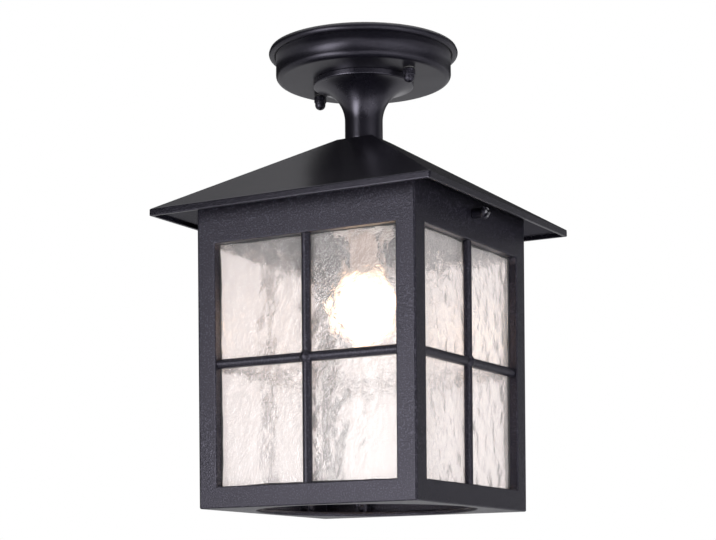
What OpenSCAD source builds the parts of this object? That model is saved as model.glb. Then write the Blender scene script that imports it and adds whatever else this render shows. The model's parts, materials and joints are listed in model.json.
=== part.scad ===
// Porch ceiling lantern: a square cast lantern under a low pyramid roof, hung from a round
// ceiling plate by a short trumpet-shaped stem. The origin is on the ceiling, on the lantern's
// vertical axis, +Z points up into the ceiling and all four sides face along X and Y.

/* [Ceiling plate] */
// Outside radius of the plate's wall
plate_r = 62.3; // [61:0.1:70]
// Depth of the plate, from the ceiling to its lower face
plate_depth = 22.6; // [22.6:0.1:30]
// Thickness of the plate's metal
plate_wall = 1.8; // [1.2:0.1:2.2]
// Rounding between the plate's wall and its lower face
plate_edge_r = 4.1; // [3:0.1:6]
// Radius of the rolled lip's section
lip_r = 2.7; // [2.4:0.1:3.2]
// How far the middle of the lip's section lies outside the wall
lip_reach = 2.4; // [1.8:0.1:2.6]
// Thickness of the foam gasket between lip and ceiling
gasket_t = 1; // [0.6:0.1:1.6]
// Width of the foam gasket
gasket_w = 3.8; // [3:0.1:4]

/* [Mounting bracket] */
// Turn of the bracket about the vertical axis, in degrees
bracket_turn = -17.7; // [-40:0.1:40]
// Thickness of the bracket's strap
strap_t = 2; // [1.5:0.1:2.5]
// Width of the bracket's strap
strap_w = 25; // [22:0.5:28]
// Radius of the cable hole in the middle of the strap
cable_hole_r = 8; // [6:0.1:9]
// Diameter of the circle through the two ceiling screw holes
ceiling_pcd = 64; // [60:0.5:68]
// Radius of the ceiling screw holes
ceiling_hole_r = 2.6; // [2:0.1:3]
// Clearance between the strap's corners and the plate's wall
strap_clear = 5; // [3:0.1:8]
// Distance from each stud to its end of the strap
stud_inset = 7.5; // [6:0.1:9]
// Radius of the studs
stud_r = 2.5; // [2:0.1:2.8]

/* [Cap nuts] */
// Width of the hexagon across its flats
cap_nut_af = 8; // [7.4:0.1:9]
// Height of the hexagon
cap_nut_h = 4.8; // [4:0.1:6]
// Height of the dome over the hexagon
cap_dome_h = 5.2; // [4.6:0.1:6.4]
// Thickness of the rubber seal above each nut
stud_seal_t = 0.8; // [0.5:0.1:1.2]

/* [Stem] */
// Length of the stem, from the plate to the roof
stem_h = 43.8; // [40:0.1:60]
// Radius of the stem's straight part
stem_r = 13.4; // [12.5:0.05:14]
// Radius of the stem's flange
stem_flange_r = 35.7; // [33:0.1:37]
// Radius of the flare between stem and flange
stem_flare_r = 25.7; // [24:0.1:27]
// Thickness of the flange at its edge
stem_flange_t = 4.2; // [3:0.1:5]
// Rounding of the flange's lower edge
stem_edge_r = 1.2; // [0.6:0.1:1.5]
// Thickness of the stem's wall and floor
stem_wall = 2.6; // [2:0.1:3.2]

/* [Threaded tube] */
// Outside radius of the hollow threaded tube
tube_r = 5; // [4.6:0.1:5.4]
// Radius of the tube's bore
tube_bore_r = 3.6; // [3.4:0.1:3.8]
// Width of its lock nuts across the flats
tube_nut_af = 14; // [13:0.1:15]
// Height of its lock nuts
tube_nut_h = 5; // [4:0.1:5]
// Thickness of its washers
tube_washer_t = 1.5; // [1:0.1:1.5]
// Radius of its washers
tube_washer_r = 10; // [9:0.1:11]

/* [Roof] */
// Half of the roof's width at the eaves
roof_half = 107.7; // [102:0.1:116]
// Half of the width of the flat on the roof's top
roof_flat = 14.2; // [14.2:0.1:18]
// Height of the roof's slope
roof_rise = 57; // [52:0.5:62]
// Height of the turned-down edge
fascia_h = 4.7; // [3.5:0.1:7]
// Thickness of the roof's metal, square to the slope
roof_wall = 2.5; // [2:0.1:3]

/* [Lantern body] */
// Half of the body's width at its bottom
body_half = 82; // [80:0.1:86]
// Height of the body
body_h = 213.7; // [206:0.1:226]
// Casting draft: how far each side leans out over its height, in degrees
draft = 0.69; // [0.4:0.01:0.9]
// Thickness of the body's walls
body_wall = 3; // [2.5:0.1:3.4]
// Thickness of the bottom flange
flange_t = 3; // [2.5:0.1:3.4]
// Radius of the round hole in the bottom flange
bottom_hole_r = 75.4; // [68:0.1:76]
// Height of the bottom rail under each window
sill_h = 14.4; // [14:0.1:18]
// Height of the rail above each window, up to the roof
top_rail_h = 34.9; // [33.5:0.1:42]
// Width of the stile at each side of a window
stile_w = 14.3; // [13.6:0.1:15]
// Depth from the body's face to the inner edge of each window's return
return_depth = 6.2; // [5.4:0.1:6.6]
// Thickness of each window's return
return_t = 2.4; // [2:0.1:2.6]
// Width of the glazing bars
bar_w = 6.4; // [5:0.1:8]
// How far the glazing bars lie behind the face
bar_inset = 1.5; // [1:0.1:2]
// Radius of the domed boss where two bars cross
crossing_r = 5.0; // [4.6:0.1:5.2]

/* [Glass] */
// Thickness of the panes
glass_t = 3; // [2.5:0.1:3.2]
// Thickness of the seal in front of each pane
pane_seal_t = 0.8; // [0.5:0.1:1]
// How far each pane reaches past its window at top and bottom
pane_lap = 4; // [3:0.1:4.4]
// How far each pane reaches past its window at each side, at the sill
pane_side_lap = 3.6; // [3.2:0.1:3.7]
// Distance from a pane's middle to each of its clips
clip_reach = 45; // [38:0.5:50]
// Width of a pane clip
clip_w = 9; // [8:0.1:12]
// Thickness of a pane clip
clip_t = 0.8; // [0.6:0.1:1]
// Radius of the clip screws
clip_screw_r = 1.5; // [1.2:0.05:1.6]

/* [Body screws] */
// Height of the two body screws below the roof's edge
body_screw_drop = 0.6; // [0.4:0.1:4]
// Radius of the body screws' thread
body_screw_r = 2.5; // [2.2:0.1:2.8]
// Radius of their heads
screw_head_r = 4.6; // [4:0.1:5]
// Length of the collar between head and body
screw_collar_h = 8.5; // [6:0.1:9]
// Height of their domed heads
screw_head_h = 3.8; // [3:0.1:4]
// Thickness of the roof's lugs that they screw into
lug_t = 6; // [5:0.1:8]

/* [Lampholder] */
// Height of the ceramic body
holder_h = 44; // [42:0.5:48]
// Outside radius of the ceramic body
holder_r = 19.5; // [18.5:0.1:20]
// Outside radius of the threaded shell
holder_shell_r = 14.1; // [14:0.05:14.6]
// Thickness of the threaded shell
holder_shell_t = 0.5; // [0.3:0.05:0.6]
// Thickness of the steel stirrup
stirrup_t = 1.5; // [1.2:0.1:2]
// Width of the steel stirrup
stirrup_w = 14; // [13:0.5:16]
// Gap between the tube's end and the ceramic body
holder_gap = 7; // [6:0.1:9]

/* [Lamp] */
// Radius of the glass bulb
bulb_r = 25; // [22:0.5:32]
// Length of the lamp, from its contact to the bulb's end
lamp_l = 104; // [100:0.5:112]
// Radius of the bulb's neck
neck_r = 12.4; // [12:0.05:12.5]
// Radius of the hollow curve between bulb and neck
neck_curve_r = 42; // [36:0.5:48]
// Thickness of the bulb's glass
bulb_t = 0.8; // [0.6:0.05:1]
// Outside radius of the lamp's screw cap
lamp_cap_r = 13; // [12.95:0.05:13.1]

/* [Wiring] */
// Radius of the insulated leads
lead_r = 1; // [0.8:0.05:1.1]
// Distance between the terminal block's ways
way_pitch = 11; // [10:0.1:12]
// Length of the terminal block, along its ways
block_l = 17; // [15:0.5:19]
// Height of the terminal block
block_h = 11; // [9:0.1:12]
// Distance from the axis to the terminal block's middle
block_reach = 30; // [29:0.1:32]

/* [Hidden] */
$fn = 72;

// Shared fits
thread_gap = 0.05;      // radial gap between a thread and its nut
hole_gap = 0.3;         // radial gap round a screw that only passes through
body_gap = 0.3;         // gap between pieces that move apart
overlap = 1;            // how far a cut runs past the face that it opens
eps = 0.5;              // how far joined shapes of one casting reach into each other

// Heights, from the ceiling down
plate_face = -plate_depth;
plate_floor = plate_face + plate_wall;
stem_foot = plate_face - stem_h;
roof_slope = roof_rise / (roof_half - roof_flat);
roof_drop = roof_wall * sqrt(1 + roof_slope * roof_slope);
roof_under = stem_foot - roof_drop;
fascia_top = stem_foot - roof_rise;
fascia_foot = fascia_top - fascia_h;
lean = tan(draft);
body_top = (roof_under - roof_slope * (body_half + lean * body_h - roof_flat));
body_foot = body_top - body_h;
head_h = body_h - top_rail_h;
window_h = head_h - sill_h;
bar_v = sill_h + window_h / 2;
body_screw_z = fascia_foot - body_screw_drop;

// The clamping stack on the threaded tube
nut_thin_h = 0.8 * tube_nut_h;
tag_t = 0.8;
tube_top_end = 3.5;     // how far the tube stands above its top nut
washer_top = plate_floor + tube_washer_t;
tag_top = washer_top + tag_t;
tube_top = tag_top + tube_nut_h + tube_top_end;
washer_foot = roof_under - tube_washer_t;
roof_nut_foot = washer_foot - tube_nut_h;
stirrup_foot = roof_nut_foot - stirrup_t;
tube_tail = 1.2;        // how far the tube stands below its lowest nut
tube_foot = stirrup_foot - nut_thin_h - tube_tail;
bush_t = 1.5;           // thickness of a bush's collar

// Lampholder and lamp
holder_top = tube_foot - holder_gap;
holder_foot = holder_top - holder_h;
contact_depth = 18;     // from the ceramic body's top to its centre contact
contact_z = holder_top - contact_depth;
contact_rise = 2.7;     // height of the contact's spring over its tip
contact_t = 0.8;
contact_half = 3;       // half of the contact's width
cavity_top = contact_z + contact_rise + contact_t;
shell_lip = 1.5;        // how far the threaded shell stands back from the ceramic's foot
rim_h = 3;              // height and reach of the rim at the ceramic's foot
rim_reach = 1;
lamp_top = contact_z - body_gap;
bulb_z = lamp_top - lamp_l + bulb_r;
pip_h = 1;
pip_r = 4.4;
insulator_h = 6;
cap_top = lamp_top - pip_h - insulator_h;
lamp_cap_h = 20.5;
lamp_cap_t = 0.5;
lamp_cap_hole_r = 8;
insulator_r = 11;
cap_foot = cap_top - lamp_cap_h;
neck_rise = 10;         // how far the bulb's neck reaches into the cap
mount_flare_z = cap_foot + 8;
mount_flare_t = 1.5;
mount_l = 30;           // length of the glass mount inside the bulb
mount_r = 6;
support_z = mount_flare_z - 0.9 * mount_l;
support_r = 0.35;
support_lean = 25;      // the support wires' lean from the axis, in degrees
filament_r = 0.7;
neck_curve_z = bulb_z + sqrt(pow(bulb_r + neck_curve_r, 2) - pow(neck_r + neck_curve_r, 2));
stirrup_reach = holder_r + body_gap + stirrup_t;
holder_screw_drop = 8;
holder_screw_z = holder_top - holder_screw_drop;
holder_screw_r = 2;
holder_screw_depth = 4; // how deep the screws reach into the ceramic
leg_tail = 6;           // how far the stirrup's legs reach below the screws
lead_hole_reach = 8;
lead_hole_depth = 6;

// Bracket
strap_half = sqrt(pow(plate_r - plate_wall - strap_clear, 2) - pow(strap_w / 2, 2));
stud_reach = strap_half - stud_inset;
stud_tail = 7;          // how far the studs reach into the cap nuts
stud_foot = plate_face - stud_seal_t - body_gap - stud_tail;
tab_margin = 2;         // how far the bracket's tab reaches past the terminal block
stud_nut_h = 4;
earth_screw_reach = 20;
earth_screw_r = 2;
block_top = -strap_t;
block_mid = block_top - 0.45 * block_h;
block_w = 3 * way_pitch;
way_bore_r = 1.6;
way_sleeve_r = 2.5;
block_screw_r = 1.5;
block_screw_reach = way_pitch / 2;      // it passes up between two ways
block_screw_head_r = 2.2;
block_base_h = 0.3 * block_h;

// Window furniture, as depths behind a face and heights above the body's foot
glass_front = return_depth + pane_seal_t;
glass_back = glass_front + glass_t;
clip_back = glass_back + clip_t;
clip_boss_r = 3.2;
clip_boss_gap = 1;
low_boss_v = sill_h - pane_lap - clip_boss_gap - clip_boss_r;
high_boss_v = head_h + pane_lap + clip_boss_gap + clip_boss_r;
pane_half = body_half - stile_w + lean * sill_h + pane_side_lap;

// Body screws and the lugs behind them
function half_at(z) = body_half + lean * (z - body_foot);
lug_w = 14;
lug_foot = body_screw_z - 7;
lug_face = half_at(lug_foot) - body_wall - body_gap;
screw_seat = half_at(body_screw_z + screw_head_r) + body_gap / 2;

// ---- Shared shapes ----

// The four faces of the body: x runs along the face, y into the lantern, z up the face
module on_face(i) {
    rotate([0, 0, 90 * i]) translate([0, -body_half, body_foot]) rotate([draft, 0, 0])
        children();
}

module on_all_faces() {
    for (i = [0:3]) on_face(i) children();
}

module turned() {
    rotate([0, 0, bracket_turn]) children();
}

module ring(r_out, r_in, z_low, z_high) {
    difference() {
        translate([0, 0, z_low]) cylinder(h = z_high - z_low, r = r_out);
        translate([0, 0, z_low - overlap]) cylinder(h = z_high - z_low + 2 * overlap, r = r_in);
    }
}

module hex_nut(af, bore, z_low, z_high) {
    difference() {
        translate([0, 0, z_low]) cylinder(h = z_high - z_low, r = af / 2 / cos(30), $fn = 6);
        translate([0, 0, z_low - overlap]) cylinder(h = z_high - z_low + 2 * overlap, r = bore);
    }
}

// A square solid whose four sides all have the outline that the points give
module four_sided(outline, reach) {
    intersection() {
        rotate([90, 0, 0]) translate([0, 0, -reach]) linear_extrude(2 * reach) polygon(outline);
        rotate([90, 0, 90]) translate([0, 0, -reach]) linear_extrude(2 * reach) polygon(outline);
    }
}

// A screw head with a cross recess, its seat at z = 0 and its dome at the low end
module pan_head(r, h) {
    dome_r = (r * r + h * h) / (2 * h);
    slot = 0.22 * r;
    difference() {
        intersection() {
            translate([0, 0, dome_r - h]) sphere(r = dome_r);
            translate([0, 0, -h]) cylinder(h = h, r = r);
        }
        for (a = [0, 90]) rotate([0, 0, a])
            translate([-0.6 * r, -slot / 2, -h - overlap]) cube([1.2 * r, slot, 0.45 * h + overlap]);
    }
}

function unit(v) = v / norm(v);
function curve_point(a, b, c, d, t) =
    0.5 * (2 * b + (c - a) * t + (2 * a - 5 * b + 4 * c - d) * t * t
        + (3 * b - a - 3 * c + d) * t * t * t);
function smooth_route(p, steps) = [
    for (i = [0:len(p) - 2]) for (s = [0:steps - 1])
        curve_point(p[max(i - 1, 0)], p[i], p[i + 1], p[min(i + 2, len(p) - 1)], s / steps),
    p[len(p) - 1]
];

// A round lead along a route: rings of points square to the smoothed route, joined by triangles
module lead(route, side) {
    path = smooth_route(route, 3);
    last = len(path) - 1;
    sides = 8;
    points = [
        for (i = [0:last])
            let (t = unit(path[min(i + 1, last)] - path[max(i - 1, 0)]),
                 a = unit(cross(t, side)), b = cross(t, a))
            for (k = [0:sides - 1])
                path[i] + lead_r * (cos(360 * k / sides) * a + sin(360 * k / sides) * b)
    ];
    walls = [
        for (i = [0:last - 1]) for (k = [0:sides - 1])
            let (p = i * sides + k, q = i * sides + (k + 1) % sides)
            for (f = [[p, p + sides, q + sides], [p, q + sides, q]]) f
    ];
    polyhedron(points, concat(
        [[for (k = [0:sides - 1]) k]], walls,
        [[for (k = [sides - 1:-1:0]) last * sides + k]]));
}

// ---- Ceiling mounting ----

module mounting_bracket() {
    color("silver") turned() difference() {
        union() {
            translate([-strap_half, -strap_w / 2, -strap_t]) cube([2 * strap_half, strap_w, strap_t]);
            // tab that carries the terminal block
            translate([-strap_w / 2, 0, -strap_t])
                cube([strap_w, block_reach + block_l / 2 + tab_margin, strap_t]);
        }
        translate([0, 0, -strap_t - overlap]) cylinder(h = strap_t + 2 * overlap, r = cable_hole_r);
        for (s = [-1, 1]) {
            translate([s * ceiling_pcd / 2, 0, -strap_t - overlap])
                cylinder(h = strap_t + 2 * overlap, r = ceiling_hole_r);
            translate([s * stud_reach, 0, -strap_t - overlap])
                cylinder(h = strap_t + 2 * overlap, r = stud_r + thread_gap);
        }
        translate([-earth_screw_reach, 0, -strap_t - overlap])
            cylinder(h = strap_t + 2 * overlap, r = earth_screw_r + thread_gap);
        translate([block_screw_reach, block_reach, -strap_t - overlap])
            cylinder(h = strap_t + 2 * overlap, r = block_screw_r + thread_gap);
    }
}

module bracket_studs() {
    color("silver") turned() for (s = [-1, 1])
        translate([s * stud_reach, 0, stud_foot]) cylinder(h = -stud_foot, r = stud_r);
}

module stud_lock_nuts() {
    color("silver") turned() for (s = [-1, 1]) translate([s * stud_reach, 0, 0])
        hex_nut(cap_nut_af, stud_r + thread_gap, -strap_t - stud_nut_h, -strap_t);
}

module earth_screw() {
    color("goldenrod") turned() translate([-earth_screw_reach, 0, -strap_t]) {
        pan_head(3.6, 2.4);
        cylinder(h = strap_t, r = earth_screw_r);
    }
}

module ceiling_gasket() {
    lip_mid = plate_r + lip_reach;
    color("dimgray") ring(lip_mid + gasket_w / 2, lip_mid - gasket_w / 2, -gasket_t, 0);
}

// Half of the plate's section: a dish with a rounded edge, grown by the rolled lip
module plate_section(r, edge, face, top) {
    square_top = top - face;
    translate([0, face]) union() {
        square([r - edge, square_top]);
        translate([0, edge]) square([r, square_top - edge]);
        translate([r - edge, edge]) circle(r = edge);
    }
}

module ceiling_plate() {
    inner_edge = plate_edge_r - plate_wall;
    color("#2b2a30") difference() {
        rotate_extrude() difference() {
            union() {
                plate_section(plate_r, plate_edge_r, plate_face, -gasket_t);
                // the rolled lip, cut flat where the gasket lies on it
                intersection() {
                    union() {
                        translate([plate_r + lip_reach, -lip_r]) circle(r = lip_r);
                        translate([plate_r - plate_wall / 2, -1.6 * lip_r])
                            square([lip_reach, 1.6 * lip_r]);
                    }
                    translate([0, plate_face]) square([2 * plate_r, plate_depth - gasket_t]);
                }
            }
            plate_section(plate_r - plate_wall, inner_edge, plate_floor, overlap);
        }
        translate([0, 0, plate_face - overlap])
            cylinder(h = plate_wall + 2 * overlap, r = tube_r + hole_gap);
        turned() for (s = [-1, 1]) translate([s * stud_reach, 0, plate_face - overlap])
            cylinder(h = plate_wall + 2 * overlap, r = stud_r + hole_gap);
    }
}

module stud_seals() {
    color("#1b1b1b") turned() for (s = [-1, 1]) translate([s * stud_reach, 0, 0])
        ring(cap_nut_af / 2 + 0.2, stud_r + hole_gap / 2, plate_face - stud_seal_t, plate_face);
}

module cap_nut(s) {
    nut_top = plate_face - stud_seal_t - body_gap;
    dome_r = cap_nut_af / 2 - 0.2;
    color("#232327") turned() translate([s * stud_reach, 0, nut_top]) difference() {
        union() {
            translate([0, 0, -cap_nut_h])
                cylinder(h = cap_nut_h, r = cap_nut_af / 2 / cos(30), $fn = 6);
            translate([0, 0, -cap_nut_h - cap_dome_h + dome_r])
                cylinder(h = cap_dome_h - dome_r + eps, r = dome_r);
            translate([0, 0, -cap_nut_h - cap_dome_h + dome_r]) sphere(r = dome_r);
        }
        translate([0, 0, stud_foot - nut_top - body_gap])
            cylinder(h = nut_top - stud_foot + body_gap + overlap, r = stud_r + thread_gap);
    }
}

module cap_nut_right() { cap_nut(1); }

module cap_nut_left() { cap_nut(-1); }

// ---- Terminal block ----

module terminal_block() {
    color("ghostwhite") turned() translate([0, block_reach, 0]) difference() {
        union() {
            translate([-block_w / 2, -block_l / 2, block_top - block_base_h])
                cube([block_w, block_l, block_base_h]);
            for (w = [-1:1]) translate([w * way_pitch, -block_l / 2, block_mid])
                rotate([-90, 0, 0]) cylinder(h = block_l, r = 0.38 * way_pitch);
            for (w = [-1:1]) for (s = [-1, 1])
                translate([w * way_pitch, s * block_l / 4, block_top - block_h])
                    cylinder(h = block_h - 0.2 * block_h, r = 0.3 * way_pitch);
        }
        for (w = [-1:1]) {
            translate([w * way_pitch, -block_l / 2 - overlap, block_mid]) rotate([-90, 0, 0])
                cylinder(h = block_l + 2 * overlap, r = way_sleeve_r);
            for (s = [-1, 1]) translate([w * way_pitch, s * block_l / 4, block_top - block_h - overlap])
                cylinder(h = block_h - 0.45 * block_h + overlap, r = way_bore_r);
        }
        // the fixing screw's head sits in a counterbore between two ways
        translate([block_screw_reach, 0, block_top - block_h]) {
            cylinder(h = block_h + overlap, r = block_screw_r + thread_gap);
            cylinder(h = block_h - block_base_h / 2, r = block_screw_head_r + thread_gap);
        }
    }
}

module terminal_sleeves() {
    color("goldenrod") turned() for (w = [-1:1])
        translate([w * way_pitch, block_reach - block_l / 2 + 1, block_mid]) rotate([-90, 0, 0])
            difference() {
                cylinder(h = block_l - 2, r = way_sleeve_r - thread_gap);
                translate([0, 0, -overlap]) cylinder(h = block_l, r = way_bore_r);
            }
}

module terminal_screws() {
    color("goldenrod") turned() for (w = [-1:1]) for (s = [-1, 1])
        translate([w * way_pitch, block_reach + s * block_l / 4, 0]) difference() {
            translate([0, 0, block_top - block_h + 1.2])
                cylinder(h = block_mid - way_sleeve_r - block_top + block_h - 1.2,
                    r = way_bore_r - thread_gap);
            translate([-2, -0.25, block_top - block_h + 0.4]) cube([4, 0.5, 1.4]);
        }
}

module block_screw() {
    color("silver") turned()
        translate([block_screw_reach, block_reach, block_top - block_base_h / 2]) {
            pan_head(block_screw_head_r, 1.6);
            cylinder(h = block_base_h / 2 + strap_t, r = block_screw_r);
        }
}

// ---- Stem and threaded tube ----

// Half of the trumpet's section, with its surface moved inwards by t
module trumpet_section(t) {
    flare_x = stem_r + stem_flare_r;
    flare_z = plate_face - stem_flange_t
        - sqrt(pow(stem_flare_r, 2) - pow(flare_x - stem_flange_r, 2));
    difference() {
        translate([0, stem_foot]) square([stem_flange_r - t, plate_face - stem_foot]);
        translate([flare_x, flare_z]) circle(r = stem_flare_r + t, $fn = 144);
        translate([stem_r - t, stem_foot - overlap])
            square([stem_flange_r, flare_z - stem_foot + overlap]);
    }
}

module stem() {
    rim_in = stem_flange_r - 8;
    color("#26252b") difference() {
        rotate_extrude() difference() {
            trumpet_section(0);
            intersection() {
                trumpet_section(stem_wall);
                translate([0, stem_foot + stem_wall])
                    square([rim_in, plate_face - stem_foot - stem_wall]);
            }
            // rounded lower edge of the flange
            difference() {
                translate([stem_flange_r - stem_edge_r, plate_face - stem_flange_t - overlap])
                    square([stem_edge_r + overlap, stem_edge_r + overlap]);
                translate([stem_flange_r - stem_edge_r, plate_face - stem_flange_t + stem_edge_r])
                    circle(r = stem_edge_r);
            }
        }
        translate([0, 0, stem_foot - overlap])
            cylinder(h = stem_wall + 2 * overlap, r = tube_r + hole_gap);
        translate([0, 0, stem_foot - overlap]) cylinder(h = overlap + 1, r = stem_r - 4.2);
    }
}

module stem_tube() {
    color("silver") ring(tube_r, tube_bore_r, tube_foot, tube_top);
}

module tube_lock_nuts() {
    color("silver") turned() {
        hex_nut(tube_nut_af, tube_r + thread_gap, tag_top, tag_top + tube_nut_h);
        hex_nut(tube_nut_af, tube_r + thread_gap, roof_nut_foot, washer_foot);
        hex_nut(tube_nut_af, tube_r + thread_gap, stirrup_foot - nut_thin_h, stirrup_foot);
    }
}

module tube_washers() {
    color("silver") {
        ring(tube_washer_r, tube_r + hole_gap, plate_floor, washer_top);
        ring(tube_washer_r, tube_r + hole_gap, washer_foot, roof_under);
    }
}

module tube_bushes() {
    spigot = 4;
    bore = tube_bore_r - 0.8;
    color("ivory") {
        ring(tube_r + 1.2, bore, tube_top, tube_top + bush_t);
        ring(tube_bore_r - thread_gap, bore, tube_top - spigot, tube_top);
        ring(tube_r + 1.2, bore, tube_foot - bush_t, tube_foot);
        ring(tube_bore_r - thread_gap, bore, tube_foot, tube_foot + spigot);
    }
}

module stem_seal() {
    color("#1b1b1b") ring(stem_r - 4.4, tube_r + hole_gap / 2, stem_foot, stem_foot + 1);
}

module earth_tag() {
    barrel_r = lead_r + 0.6;
    color("gainsboro") turned() difference() {
        union() {
            ring(8.4, tube_r + hole_gap / 2, washer_top, tag_top);
            translate([7, -2.5, washer_top]) cube([8.5, 5, tag_t]);
            translate([11, 0, tag_top + barrel_r - 0.3]) rotate([0, 90, 0])
                cylinder(h = 5, r = barrel_r);
        }
        translate([12, 0, tag_top + barrel_r - 0.3]) rotate([0, 90, 0])
            cylinder(h = 5, r = lead_r + 0.2);
    }
}

// ---- Roof ----

function roof_outline(inset, drop, foot) = [
    [-roof_half + inset, foot], [roof_half - inset, foot],
    [roof_half - inset, fascia_top - drop + roof_slope * inset], [roof_flat, stem_foot - drop],
    [-roof_flat, stem_foot - drop], [-roof_half + inset, fascia_top - drop + roof_slope * inset]
];

module roof_space(foot) {
    four_sided(roof_outline(roof_wall, roof_drop, foot), roof_half + overlap);
}

module roof() {
    color("#2a2930") difference() {
        union() {
            difference() {
                four_sided(roof_outline(0, 0, fascia_foot), roof_half + overlap);
                roof_space(fascia_foot - overlap);
            }
            // lugs for the body screws
            intersection() {
                four_sided(roof_outline(eps, eps, lug_foot - overlap), roof_half + overlap);
                for (s = [0, 180]) rotate([0, 0, s])
                    translate([lug_face - lug_t, -lug_w / 2, lug_foot])
                        cube([lug_t, lug_w, stem_foot - lug_foot]);
            }
        }
        for (s = [0, 180]) rotate([0, 0, s])
            translate([lug_face - lug_t - overlap, 0, body_screw_z]) rotate([0, 90, 0])
                cylinder(h = lug_t + 2 * overlap, r = body_screw_r + thread_gap);
        translate([0, 0, roof_under - overlap])
            cylinder(h = roof_drop + 2 * overlap, r = tube_r + hole_gap);
    }
}

// ---- Lampholder ----

module holder_stirrup() {
    leg_foot = holder_screw_z - leg_tail;
    color("gainsboro") turned() difference() {
        translate([-stirrup_w / 2, -stirrup_reach, leg_foot]) difference() {
            cube([stirrup_w, 2 * stirrup_reach, roof_nut_foot - leg_foot]);
            translate([-overlap, stirrup_t, -overlap])
                cube([stirrup_w + 2 * overlap, 2 * (stirrup_reach - stirrup_t),
                    stirrup_foot - leg_foot + overlap]);
        }
        translate([0, 0, stirrup_foot - overlap])
            cylinder(h = stirrup_t + 2 * overlap, r = tube_r + hole_gap);
        translate([0, stirrup_reach + overlap, holder_screw_z]) rotate([90, 0, 0])
            cylinder(h = 2 * (stirrup_reach + overlap), r = holder_screw_r + hole_gap);
    }
}

module holder_screws() {
    color("silver") turned() for (s = [0, 180]) rotate([0, 0, s])
        translate([0, stirrup_reach, holder_screw_z]) rotate([90, 0, 0]) {
            pan_head(1.75 * holder_screw_r, 1.1 * holder_screw_r);
            cylinder(h = stirrup_t + body_gap + holder_screw_depth, r = holder_screw_r);
        }
}

module holder_body() {
    color("#ece7dc") turned() difference() {
        union() {
            translate([0, 0, holder_foot]) cylinder(h = holder_h, r = holder_r);
            translate([0, 0, holder_foot]) cylinder(h = rim_h, r = holder_r + rim_reach);
        }
        translate([0, 0, holder_foot - overlap])
            cylinder(h = cavity_top - holder_foot + overlap, r = holder_shell_r + thread_gap);
        for (s = [0, 180]) rotate([0, 0, s]) {
            translate([lead_hole_reach, 0, holder_top - lead_hole_depth])
                cylinder(h = lead_hole_depth + overlap, r = lead_r + 2 * hole_gap);
            translate([0, holder_r + overlap, holder_screw_z]) rotate([90, 0, 0])
                cylinder(h = holder_screw_depth + 2 * overlap, r = holder_screw_r + thread_gap);
        }
    }
}

module holder_shell() {
    color("gainsboro") ring(holder_shell_r, holder_shell_r - holder_shell_t,
        holder_foot + shell_lip, cavity_top - overlap);
}

module holder_contact() {
    color("goldenrod") turned() translate([-contact_half, 0, 0]) {
        translate([0, -3 * contact_half, contact_z + contact_rise])
            cube([2 * contact_half, 4 * contact_half, contact_t]);
        translate([0, contact_half - contact_t, contact_z])
            cube([2 * contact_half, contact_t, contact_rise + contact_t / 2]);
        translate([0, -contact_half, contact_z])
            cube([2 * contact_half, 2 * contact_half, 0.75 * contact_t]);
    }
}

// ---- Lamp ----

// Half of the bulb's section, with its surface moved inwards by t
module bulb_section(t) {
    tip = unit([neck_r + neck_curve_r, neck_curve_z - bulb_z]) * bulb_r;
    neck_top = cap_foot + neck_rise;
    intersection() {
        union() {
            translate([0, bulb_z]) circle(r = bulb_r - t, $fn = 144);
            difference() {
                polygon([
                    [0, bulb_z], [tip[0], bulb_z + tip[1]], [neck_r + neck_curve_r, neck_curve_z],
                    [neck_r - t, neck_curve_z], [neck_r - t, neck_top], [0, neck_top]
                ]);
                translate([neck_r + neck_curve_r, neck_curve_z])
                    circle(r = neck_curve_r + t, $fn = 144);
            }
        }
        translate([0, bulb_z - bulb_r]) square([bulb_r, neck_top - bulb_z + bulb_r]);
    }
}

module lamp_bulb() {
    color("white", 0.6) rotate_extrude() difference() {
        bulb_section(0);
        bulb_section(bulb_t);
    }
}

module lamp_cap() {
    color("silver") difference() {
        translate([0, 0, cap_foot]) cylinder(h = lamp_cap_h, r = lamp_cap_r);
        translate([0, 0, cap_foot - overlap])
            cylinder(h = lamp_cap_h - lamp_cap_t + overlap, r = lamp_cap_r - lamp_cap_t);
        translate([0, 0, cap_top - overlap]) cylinder(h = 2 * overlap, r = lamp_cap_hole_r);
    }
}

module lamp_insulator() {
    color("#202020") translate([0, 0, cap_top]) difference() {
        cylinder(h = insulator_h, r1 = insulator_r, r2 = 0.55 * insulator_r);
        translate([0, 0, -overlap])
            cylinder(h = insulator_h + 2 * overlap, r = 0.7 * pip_r + thread_gap);
    }
}

module lamp_contact() {
    color("silver") {
        translate([0, 0, lamp_top - pip_h]) cylinder(h = pip_h, r = pip_r);
        translate([0, 0, cap_top]) cylinder(h = insulator_h + pip_h / 2, r = 0.7 * pip_r);
    }
}

// The glass stem inside the bulb, with its two support wires
module lamp_mount() {
    color("white", 0.6) {
        translate([0, 0, mount_flare_z - mount_l])
            cylinder(h = mount_l, r1 = 0.6 * mount_r, r2 = mount_r);
        translate([0, 0, mount_flare_z])
            cylinder(h = mount_flare_t, r = neck_r - bulb_t - thread_gap / 2);
        for (s = [-1, 1]) translate([0, 0, support_z]) rotate([0, s * (180 - support_lean), 0])
            cylinder(h = (support_z - bulb_z) / cos(support_lean), r = support_r);
    }
}

module lamp_filament() {
    reach = (support_z - bulb_z) * tan(support_lean);
    color("gold") translate([0, 0, bulb_z]) rotate_extrude(angle = 180) translate([reach, 0])
        circle(r = filament_r);
}

// ---- Lantern body ----

// Outline of the body's section: both sides lean out with the casting draft
function body_outline(inset, foot) = [
    [-half_at(foot) + inset, foot], [half_at(foot) - inset, foot],
    [half_at(stem_foot) - inset, stem_foot], [-half_at(stem_foot) + inset, stem_foot]
];

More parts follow.
